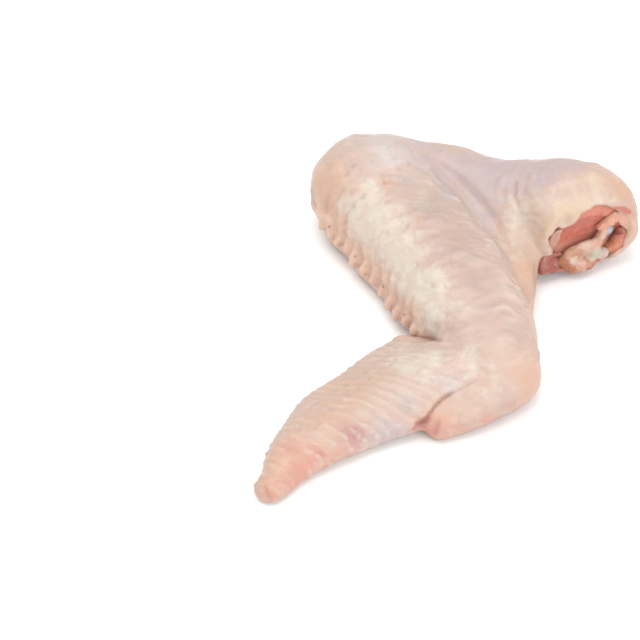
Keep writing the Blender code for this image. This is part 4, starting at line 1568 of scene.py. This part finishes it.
@dataclass
class QuillStubs:
    """Stubs of quill that stay in the follicles along the forearm's edge."""

    form: WingForm
    radius: float = 0.16
    length: float = 0.6
    lift: float = 1.3
    every: int = 3
    lean: float = 0.8
    taper: float = 0.7
    sizes: tuple[float, float] = (0.6, 1.25)
    stray: float = 0.7
    sides: int = 8
    seed: int = 3

    def places(self) -> tuple[Points, Points]:
        """Where the stubs stand.

        Returns:
            The place of each, and the way that it points.
        """
        random = np.random.default_rng(self.seed)
        lobes = self.form.lobes[1::self.every]
        roots = np.array([lobe.centre[-1] + (0, 0, self.lift) for lobe in lobes])
        roots += random.uniform(-self.stray, self.stray, roots.shape)
        ways = np.array([lobe.along[-1] * self.lean for lobe in lobes]) + UP
        return settle(self.form.flesh_with_lobes, roots), unit(ways)

    def tree(self, material: Material) -> Tree:
        """The nodes that stand a tapered stub on each place.

        Args:
            material: the stubs' finish.

        Returns:
            The tree, with inputs for the sizes and the seed.
        """
        tree = bpy.data.node_groups.new("quill stubs", "GeometryNodeTree")
        kinds = {"Geometry": "Geometry", "Radius": "Float", "Length": "Float", "Sides": "Int", "Seed": "Int"}
        for name, kind in kinds.items():
            tree.interface.new_socket(name, in_out="INPUT", socket_type=f"NodeSocket{kind}")
        tree.interface.new_socket("Geometry", in_out="OUTPUT", socket_type="NodeSocketGeometry")
        graph = Graph(tree)
        given = graph.place("NodeGroupInput").outputs
        tip = graph.sum("MULTIPLY", given["Radius"], self.taper)
        cone = graph.place("GeometryNodeMeshCone", {
            "Vertices": given["Sides"], "Radius Top": tip, "Radius Bottom": given["Radius"],
            "Depth": given["Length"], "Side Segments": 3})
        way = graph.place("GeometryNodeInputNamedAttribute", {"Name": "way"}, data_type="FLOAT_VECTOR")
        turned = graph.place(
            "FunctionNodeAlignRotationToVector", {"Vector": way.outputs["Attribute"]}, axis="Z")
        least, most = self.sizes
        size = graph.place(
            "FunctionNodeRandomValue", {2: least, 3: most, "Seed": given["Seed"]}, data_type="FLOAT")
        stood = graph.place("GeometryNodeInstanceOnPoints", {
            "Points": given["Geometry"], "Instance": cone.outputs["Mesh"],
            "Rotation": turned.outputs["Rotation"], "Scale": size.outputs[1]})
        real = graph.place("GeometryNodeRealizeInstances", {"Geometry": stood.outputs["Instances"]})
        dressed = graph.place(
            "GeometryNodeSetMaterial", {"Geometry": real.outputs["Geometry"], "Material": material})
        graph.place("NodeGroupOutput", {"Geometry": dressed.outputs["Geometry"]})
        return tree

    def dress(self) -> list[Piece]:
        """Stand the stubs in the lobes and give them their finish.

        Returns:
            The finished piece alone.
        """
        points, ways = self.places()
        mesh = bpy.data.meshes.new("quill stubs")
        mesh.from_pydata(((points - MIDDLE) * MM).tolist(), [], [])
        layer = mesh.attributes.new("way", "FLOAT_VECTOR", "POINT")
        layer.data.foreach_set("vector", ways.astype(np.float32).ravel())
        thing = in_scene("quill_stubs", mesh)
        sizes = {"Radius": self.radius * MM, "Length": self.length * MM}
        tree = self.tree(QuillFinish().material())
        thing.data = grown_mesh(thing, tree, {**sizes, "Sides": self.sides, "Seed": self.seed})
        thing.data.shade_smooth()
        return [hand_over(thing, "skin")]


def grown_mesh(thing: Piece, tree: Tree, values: dict[str, Any]) -> bpy.types.Mesh:
    """Run a tree of geometry nodes on an object and keep the plain mesh.

    Args:
        thing: the object that carries the points.
        tree: the tree.
        values: the value of each named input.

    Returns:
        The mesh that the tree makes.
    """
    modifier = thing.modifiers.new(tree.name, "NODES")
    modifier.node_group = tree
    for socket in tree.interface.items_tree:
        if socket.in_out == "INPUT" and socket.name in values:
            modifier[socket.identifier] = values[socket.name]
    graph = bpy.context.evaluated_depsgraph_get()
    mesh = bpy.data.meshes.new_from_object(
        thing.evaluated_get(graph), preserve_all_data_layers=True, depsgraph=graph)
    thing.modifiers.clear()
    return mesh


class Graph:
    """A short way to place and link nodes in one tree."""

    def __init__(self, tree: Tree) -> None:
        """Work in a tree."""
        self.tree = tree

    def feed(self, node: Node, inputs: dict[str | int, Any]) -> None:
        """Give each named input its value, or link it to an output.

        Args:
            node: the node.
            inputs: a value, or an output, for each input by its name or number.
        """
        for name, value in inputs.items():
            if isinstance(value, Socket):
                self.tree.links.new(value, node.inputs[name])
            else:
                node.inputs[name].default_value = value

    def place(self, kind: str, inputs: dict[str | int, Any] | None = None, **settings: Any) -> Node:
        """Place a node.

        Args:
            kind: its type.
            inputs: a value, or an output to link, for each of its inputs by name or number.
            settings: its own settings.

        Returns:
            The node.
        """
        node = self.tree.nodes.new(kind)
        for name, value in settings.items():
            setattr(node, name, value)
        self.feed(node, inputs or {})
        return node

    def sum(self, operation: str, first: Any, second: Any) -> Socket:
        """The result of a sum on two values."""
        return self.place("ShaderNodeMath", {0: first, 1: second}, operation=operation).outputs[0]

    def mix(self, factor: Any, first: Any, second: Any, blend: str = "MIX") -> Socket:
        """Two colours mixed."""
        colours = {0: factor, 6: first, 7: second}
        return self.place("ShaderNodeMix", colours, data_type="RGBA", blend_type=blend).outputs[2]

    def lay(self, found: Any, picked: Picked, where: Socket | str, amount: float = 1.0) -> Socket:
        """Lay a colour over what is there.

        Args:
            found: the colour that is there.
            picked: the colour to lay over it.
            where: how strong it is, as a value or the name of a mask.
            amount: what that is multiplied by.

        Returns:
            Both colours mixed.
        """
        share = self.mask(where) if isinstance(where, str) else where
        if amount != 1.0:
            share = self.sum("MULTIPLY", share, amount)
        return self.mix(share, found, linear(picked))

    def span(self, value: Any, low: float, high: float, to_low: float = 0.0, to_high: float = 1.0) -> Socket:
        """A value eased from one range to another."""
        ends = {0: value, 1: low, 2: high, 3: to_low, 4: to_high}
        return self.place("ShaderNodeMapRange", ends, interpolation_type="SMOOTHSTEP").outputs[0]

    def mask(self, name: str) -> Socket:
        """A value that the mesh keeps at its corners."""
        kept = self.place("ShaderNodeAttribute", attribute_type="GEOMETRY", attribute_name=name)
        return kept.outputs["Fac"]

    def speckle(self, scale: Any, detail: float, roughness: float, warp: float = 0.0) -> Socket:
        """Noise on the object's own coordinates.

        Args:
            scale: how fine it is.
            detail: how many finer layers it has.
            roughness: how strong those are.
            warp: how far it twists.

        Returns:
            The noise, from 0 to 1.
        """
        place = self.place("ShaderNodeTexCoord").outputs["Object"]
        return self.place("ShaderNodeTexNoise", {
            "Vector": place, "Scale": scale, "Detail": detail, "Roughness": roughness,
            "Distortion": warp}).outputs["Fac"]

    def effect(self, group: Tree, **values: Any) -> Node:
        """Place an effect that several finishes share.

        Args:
            group: the effect.
            values: this finish's value for each of its inputs.

        Returns:
            Its node.
        """
        node = self.tree.nodes.new("ShaderNodeGroup")
        node.node_tree = group
        self.feed(node, {name.replace("_", " ").title(): value for name, value in values.items()})
        return node

    def mottled(self, broad: float, small: float) -> tuple[Socket, Socket]:
        """Broad and small blotches of this finish's own sizes."""
        blotches = self.effect(mottle(), broad_scale=broad, small_scale=small).outputs
        return blotches["Broad"], blotches["Small"]


def shared_effect(name: str, inputs: Sequence[str], outputs: Sequence[str],
                  fill: Callable[[Graph, Any], dict[str, Socket]]) -> Tree:
    """Build a shader node group once and find it again after that.

    Args:
        name: its name.
        inputs: the names of its inputs, all plain values.
        outputs: the names of its outputs, all plain values.
        fill: places the nodes, from a graph and the inputs, and returns what feeds each output.

    Returns:
        The group.
    """
    if name in bpy.data.node_groups:
        return bpy.data.node_groups[name]
    tree = bpy.data.node_groups.new(name, "ShaderNodeTree")
    for labels, way in ((inputs, "INPUT"), (outputs, "OUTPUT")):
        for label in labels:
            tree.interface.new_socket(label, in_out=way, socket_type="NodeSocketFloat")
    graph = Graph(tree)
    given = graph.place("NodeGroupInput").outputs
    graph.place("NodeGroupOutput", fill(graph, given))
    return tree


def blotched(graph: Graph, given: Any) -> dict[str, Socket]:
    """Fill the effect of broad blotches, and small ones within them."""
    broad = graph.speckle(given["Broad Scale"], 3.0, 0.6, 0.6)
    small = graph.speckle(given["Small Scale"], 4.0, 0.65, 0.4)
    return {"Broad": graph.span(broad, 0.35, 0.65), "Small": graph.span(small, 0.32, 0.68)}


def mottle() -> Tree:
    """Blotches of two sizes that break a colour up."""
    return shared_effect("mottle", ("Broad Scale", "Small Scale"), ("Broad", "Small"), blotched)


def grained(graph: Graph, given: Any) -> dict[str, Socket]:
    """Fill the effect of fine grain under a film of moisture.

    Args:
        graph: the effect's nodes.
        given: its inputs.

    Returns:
        The grain's height, its hollows, which the skin darkens as painted shade, and where the film lies.
    """
    place = graph.place("ShaderNodeTexCoord").outputs["Object"]
    cells = graph.place(
        "ShaderNodeTexVoronoi", {"Vector": place, "Scale": given["Cell Scale"]}, feature="SMOOTH_F1")
    grain = graph.speckle(graph.sum("MULTIPLY", given["Cell Scale"], 1.7), 3.0, 0.6)
    rounded = graph.sum("MULTIPLY", cells.outputs["Distance"], 0.6)
    both = graph.sum("ADD", rounded, graph.sum("MULTIPLY", grain, 0.7))
    film = graph.span(graph.speckle(given["Film Scale"], 3.0, 0.55), 0.40, 0.62)
    return {"Height": both, "Hollow": graph.span(both, 0.35, 0.75, 1.0, 0.0), "Film": film}


def moist_grain() -> Tree:
    """Fine grain under a film of moisture."""
    return shared_effect("moist grain", ("Cell Scale", "Film Scale"), ("Height", "Hollow", "Film"), grained)


@dataclass(frozen=True)
class Finish:
    """What every moist finish has: its name, gloss, coat, grain and how far light sinks in."""

    name: str
    dry: float = 0.5
    wet: float = 0.36
    coat: float = 0.12
    coat_roughness: float = 0.25
    dry_coat: float = 0.3
    bending: float = 1.4
    cell_scale: float = 2400.0
    film_scale: float = 160.0
    grain: float = 0.00003
    sinks: float = 0.15
    sink_depth: float = 0.0015
    sink_colours: Place = (1.0, 0.45, 0.3)

    def colour(self, graph: Graph, grain: Node) -> Socket:
        """The finish's colour; each finish has its own."""
        raise NotImplementedError

    def material(self) -> Material:
        """The material, with its colour, gloss and grain.

        Returns:
            A new material with the finish's name.
        """
        material = bpy.data.materials.new(self.name)
        material.use_nodes = True
        graph = Graph(material.node_tree)
        grain = graph.effect(moist_grain(), cell_scale=self.cell_scale, film_scale=self.film_scale)
        film = grain.outputs["Film"]
        bump = graph.place("ShaderNodeBump", {
            "Strength": 1.0, "Distance": self.grain, "Height": grain.outputs["Height"]})
        graph.feed(material.node_tree.nodes["Principled BSDF"], {
            "Base Color": self.colour(graph, grain),
            "Roughness": graph.span(film, 0.0, 1.0, self.dry, self.wet),
            "Coat Weight": graph.span(film, 0.0, 1.0, self.dry_coat * self.coat, self.coat),
            "Normal": bump.outputs["Normal"],
            "Metallic": 0.0,
            "IOR": self.bending,
            "Coat Roughness": self.coat_roughness,
            "Subsurface Weight": self.sinks,
            "Subsurface Scale": self.sink_depth,
            "Subsurface Radius": self.sink_colours,
        })
        return material


@dataclass(frozen=True)
class SkinFinish(Finish):
    """Raw skin: pale and mottled, with a painted highlight on its ridges, painted shade in its valleys,
    lobe gaps, grain hollows and thumb gap, creases rosy partly as painted shade, a trailing edge
    lightened partly as painted light, red at the cut.
    """

    name: str = "raw skin"
    # The first colour darkens the wrinkle valleys as painted shade, the second lays a painted highlight on
    # their crests.
    valley_shade: Picked = (224, 190, 175)
    ridge: Picked = (238, 222, 205)
    # The crease colour turns creases rosy, partly real pinker skin and partly painted shade, and also paints
    # shade into the gaps between the quill lobes and into the hollows of the grain.
    crease: Picked = (206, 150, 138)
    pit: Picked = (196, 172, 160)
    rim: Picked = (226, 180, 155)
    lining: Picked = (226, 130, 110)
    deep: Picked = (206, 100, 84)
    pale_side: Picked = (240, 204, 186)
    tints: tuple[Tint, ...] = (
        Tint.PEARL, Tint.PEACH, Tint.LILAC, Tint.DUSK, Tint.CREAM, Tint.SAND, Tint.EDGE, Tint.ROSE,
        Tint.BRUISE, Tint.SIDE, Tint.FLAP, Tint.LINING, Tint.NOTCH, Tint.QUILL)
    even_tints: tuple[Tint, ...] = (Tint.BRUISE, Tint.SIDE, Tint.FLAP)
    dry: float = 0.52
    wet: float = 0.38
    sinks: float = 0.18
    sink_depth: float = 0.002

    def colour(self, graph: Graph, grain: Node) -> Socket:
        """The tints in turn, then painted shade in the valleys and a painted highlight on the ridges, the
        creases (partly painted shade), the pits and painted shade in the grain's hollows, then the cut.
        """
        broad, small = graph.mottled(210.0, 620.0)
        found = self.tinted(graph, broad, small)
        ridge = graph.mask("ridge")
        # Painted shade in the wrinkle valleys, then a painted highlight on their crests.
        found = graph.mix(graph.span(ridge, 0.0, 0.4, 0.16, 0.0), found, linear(self.valley_shade, 1.0), "MULTIPLY")
        found = graph.lay(found, self.ridge, graph.span(ridge, 0.3, 1.0, 0.0, 0.5))
        found = graph.lay(found, Tint.CREAM.value, small, 0.14)
        found = graph.lay(found, Tint.ROSE.value, graph.sum("SUBTRACT", 1.0, broad), 0.10)
        # Creases turn rosy, partly real colour and partly painted shade.
        found = graph.lay(found, self.crease, "crease", 0.8)
        found = graph.lay(found, self.pit, "pit", 0.3)
        # Painted shade in the hollows of the grain.
        found = graph.lay(found, self.crease, grain.outputs["Hollow"], 0.08)
        inner = graph.lay(linear(self.lining), self.deep, "deep")
        inner = graph.lay(inner, self.rim, small, 0.25)
        inner = graph.lay(inner, self.pale_side, "pale side", 0.85)
        return graph.mix(graph.mask("inside"), found, inner)

    def tinted(self, graph: Graph, broad: Socket, small: Socket) -> Socket:
        """The tints over the plain skin, most of them with edges that the blotches break up.

        Args:
            graph: the material's nodes.
            broad: broad blotches.
            small: small blotches.

        Returns:
            The colour so far.
        """
        both = graph.sum("ADD", graph.sum("MULTIPLY", broad, 0.6), graph.sum("MULTIPLY", small, 0.4))
        spread = graph.span(both, 0.0, 1.0, -0.3, 0.3)
        found = linear(Tint.BLUSH.value)
        for tint in self.tints:
            where = graph.mask(tint.name.lower())
            if tint is Tint.LINING:
                where = graph.span(where, 0.25, 0.7)
            elif tint not in self.even_tints:
                edge = graph.sum("MULTIPLY", where, graph.sum("SUBTRACT", 1.0, where))
                broken = graph.sum("MULTIPLY", graph.sum("MULTIPLY", edge, 4.0), spread)
                where = graph.span(graph.sum("ADD", where, broken), 0.0, 0.9)
            found = graph.lay(found, tint.value, where)
        return found


@dataclass(frozen=True)
class MeatFinish(Finish):
    """Raw red muscle: darker between its fibres, wet, and lighter low down and in the square pit as painted
    light, where the hollow lies in shade.
    """

    name: str = "raw muscle"
    plain: Picked = (240, 148, 126)
    between: Picked = (222, 122, 104)
    film_colour: Picked = (240, 166, 146)
    # Painted light: the square pit lies in shade, so its colour is lighter than the plain red.
    square: Picked = (236, 160, 142)
    band: Picked = (204, 110, 98)
    top: Picked = (236, 146, 122)
    # Painted light: the muscle low in the hollow lies in shade and is made lighter.
    low: Picked = (255, 186, 162)
    dry: float = 0.42
    wet: float = 0.26
    coat: float = 0.35
    sinks: float = 0.12

    def colour(self, graph: Graph, grain: Node) -> Socket:
        """The fibres, the upper and top bands, painted light on the low muscle, a paler film over them, and
        painted light in the square pit.
        """
        broad, small = graph.mottled(380.0, 1100.0)
        found = graph.lay(linear(self.between), self.plain, "fibre")
        found = graph.lay(found, self.band, "upper band", 0.7)
        found = graph.lay(found, self.top, "top", 0.8)
        # Painted light on the low muscle, which lies in shade.
        found = graph.lay(found, self.low, "low", 0.9)
        found = graph.lay(found, self.film_colour, graph.sum("MULTIPLY", broad, small), 0.5)
        # Painted light in the square pit, which lies in shade.
        return graph.lay(found, self.square, "dark square")


@dataclass(frozen=True)
class CartilageFinish(Finish):
    """Pearly cartilage: bluish white, rosy in its dents, and glossy."""

    name: str = "cartilage"
    plain: Picked = (212, 210, 222)
    rosy: Picked = (206, 170, 168)
    dry: float = 0.3
    wet: float = 0.2
    coat: float = 0.5
    sinks: float = 0.25

    def colour(self, graph: Graph, grain: Node) -> Socket:
        """Bluish white with rosy dents."""
        small = graph.mottled(420.0, 1300.0)[1]
        found = graph.lay(linear(self.plain), Tint.PEARL.value, small, 0.25)
        return graph.lay(found, self.rosy, "rosy", 0.6)


@dataclass(frozen=True)
class FatFinish(Finish):
    """Pale fat and tendon: pink between its lumps, with browner, greener and redder spots."""

    name: str = "fat and tendon"
    plain: Picked = (236, 192, 172)
    between: Picked = (216, 150, 128)
    brown: Picked = (204, 132, 96)
    tan: Picked = (212, 160, 130)
    whitish: Picked = (232, 204, 182)
    green: Picked = (214, 203, 180)
    lilac: Picked = (222, 196, 186)
    red: Picked = (214, 84, 70)
    orange: Picked = (240, 178, 148)
    dry: float = 0.42
    wet: float = 0.28
    coat: float = 0.3
    sinks: float = 0.22

    def colour(self, graph: Graph, grain: Node) -> Socket:
        """The lumps, then each spot in turn."""
        broad, small = graph.mottled(420.0, 1200.0)
        found = graph.lay(linear(self.between), self.plain, "lump")
        found = graph.lay(found, self.orange, broad, 0.15)
        for name in ("orange", "tan", "whitish", "green", "lilac", "brown", "red"):
            strength = graph.sum("ADD", graph.mask(name), graph.sum("MULTIPLY", small, 0.12))
            found = graph.lay(found, getattr(self, name), graph.span(strength, 0.1, 1.0))
        return found


@dataclass(frozen=True)
class MembraneFinish(Finish):
    """Thin wet tissue: pink with paler, whitish edges."""

    name: str = "membrane"
    plain: Picked = (214, 158, 142)
    pale: Picked = (230, 200, 186)
    dry: float = 0.4
    wet: float = 0.24
    coat: float = 0.35
    sinks: float = 0.3

    def colour(self, graph: Graph, grain: Node) -> Socket:
        """Pink, with pale edges and blotches."""
        broad = graph.mottled(500.0, 1400.0)[0]
        return graph.lay(linear(self.plain), self.pale, graph.sum("MULTIPLY", graph.mask("edge"), broad), 0.8)


@dataclass(frozen=True)
class DarkFatFinish(Finish):
    """The darker fat of the pocket: orange brown, redder between its lumps."""

    name: str = "darker fat"
    plain: Picked = (228, 162, 126)
    between: Picked = (216, 134, 102)
    upper: Picked = (206, 126, 104)
    dry: float = 0.4
    wet: float = 0.26
    coat: float = 0.3

    def colour(self, graph: Graph, grain: Node) -> Socket:
        """Orange brown lumps, redder higher up."""
        found = graph.lay(linear(self.between), self.plain, "lump")
        found = graph.lay(found, self.upper, "upper")
        return graph.lay(found, self.between, graph.mottled(500.0, 1400.0)[1], 0.3)


@dataclass(frozen=True)
class QuillFinish(Finish):
    """Horny quill: yellowish and a little browner in blotches."""

    name: str = "quill"
    plain: Picked = (224, 196, 160)
    brown: Picked = (180, 130, 92)
    sinks: float = 0.1

    def colour(self, graph: Graph, grain: Node) -> Socket:
        """Yellowish with brown blotches."""
        return graph.lay(linear(self.plain), self.brown, graph.mottled(900.0, 2600.0)[0])


@dataclass
class Studio:
    """The plain floor, the soft light and the camera of the photograph."""

    camera_place: Place = (-33.6, -336.09, 286.04)
    camera_target: Place = (-33.6, 4.8, 0.0)
    lens: float = 100.0
    sensor: float = 36.0
    floor_half: float = 1.6
    floor_colour: float = 0.93
    floor_roughness: float = 0.9
    floor_gloss: float = 0.1
    surround: float = 0.9
    light_target: Place = (0.0, 0.0, 0.01)
    lights: tuple[tuple[Place, float, float], ...] = ((
        (-0.15, 0.05, 0.75), 0.7, 3.3), ((0.3, -0.6, 0.35), 0.8, 3.2))

    def build(self) -> None:
        """Set the floor, the lights, the surround and the camera."""
        self.floor()
        self.surroundings()
        for number, (place, size, power) in enumerate(self.lights):
            lamp = bpy.data.lights.new(f"softbox {number}", "AREA")
            lamp.shape = "DISK"
            lamp.size = size
            lamp.energy = power
            self.aim(in_scene(lamp.name, lamp), Vector(place), Vector(self.light_target))
        eye = bpy.data.cameras.new("camera")
        eye.lens = self.lens
        eye.sensor_width = self.sensor
        camera = in_scene("camera", eye)
        self.aim(camera, Vector(self.camera_place) * MM, Vector(self.camera_target) * MM)
        bpy.context.scene.camera = camera
        bpy.context.scene.view_settings.view_transform = "Standard"
        LOG.info("studio: %d lights", len(self.lights))

    def aim(self, thing: Piece, place: Vector, target: Vector) -> None:
        """Put a light or the camera in its place, looking at a target."""
        thing.location = place
        thing.rotation_euler = (target - place).to_track_quat("-Z", "Y").to_euler()

    def floor(self) -> None:
        """A plain pale floor."""
        half = self.floor_half
        mesh = bpy.data.meshes.new("floor")
        corners = [(-half, -half, 0), (half, -half, 0), (half, half, 0), (-half, half, 0)]
        mesh.from_pydata(corners, [], [(0, 1, 2, 3)])
        material = bpy.data.materials.new("floor")
        material.use_nodes = True
        Graph(material.node_tree).feed(material.node_tree.nodes["Principled BSDF"], {
            "Base Color": (self.floor_colour,) * 3 + (1.0,), "Roughness": self.floor_roughness,
            "Specular IOR Level": self.floor_gloss})
        mesh.materials.append(material)
        in_scene("floor", mesh)

    def surroundings(self) -> None:
        """An even white surround."""
        world = bpy.data.worlds.new("surround")
        world.use_nodes = True
        shine = {"Color": (1.0, 1.0, 1.0, 1.0), "Strength": self.surround}
        Graph(world.node_tree).feed(world.node_tree.nodes["Background"], shine)
        bpy.context.scene.world = world


def main() -> None:
    """Build the studio and each piece in turn, and report each piece's triangles."""
    logging.basicConfig(level=logging.INFO, format="%(name)s: %(message)s")
    Studio().build()
    form = WingForm()
    for part in (SkinBody(form), ShoulderMuscle(form), HumerusHead(form), FatStrip(form), PocketFat(form),
                 Membranes(form), QuillStubs(form)):
        for piece in part.dress():
            triangles = sum(len(face.vertices) - 2 for face in piece.data.polygons)
            LOG.info("%s: %d triangles", piece.name, triangles)


if __name__ == "__main__":
    main()
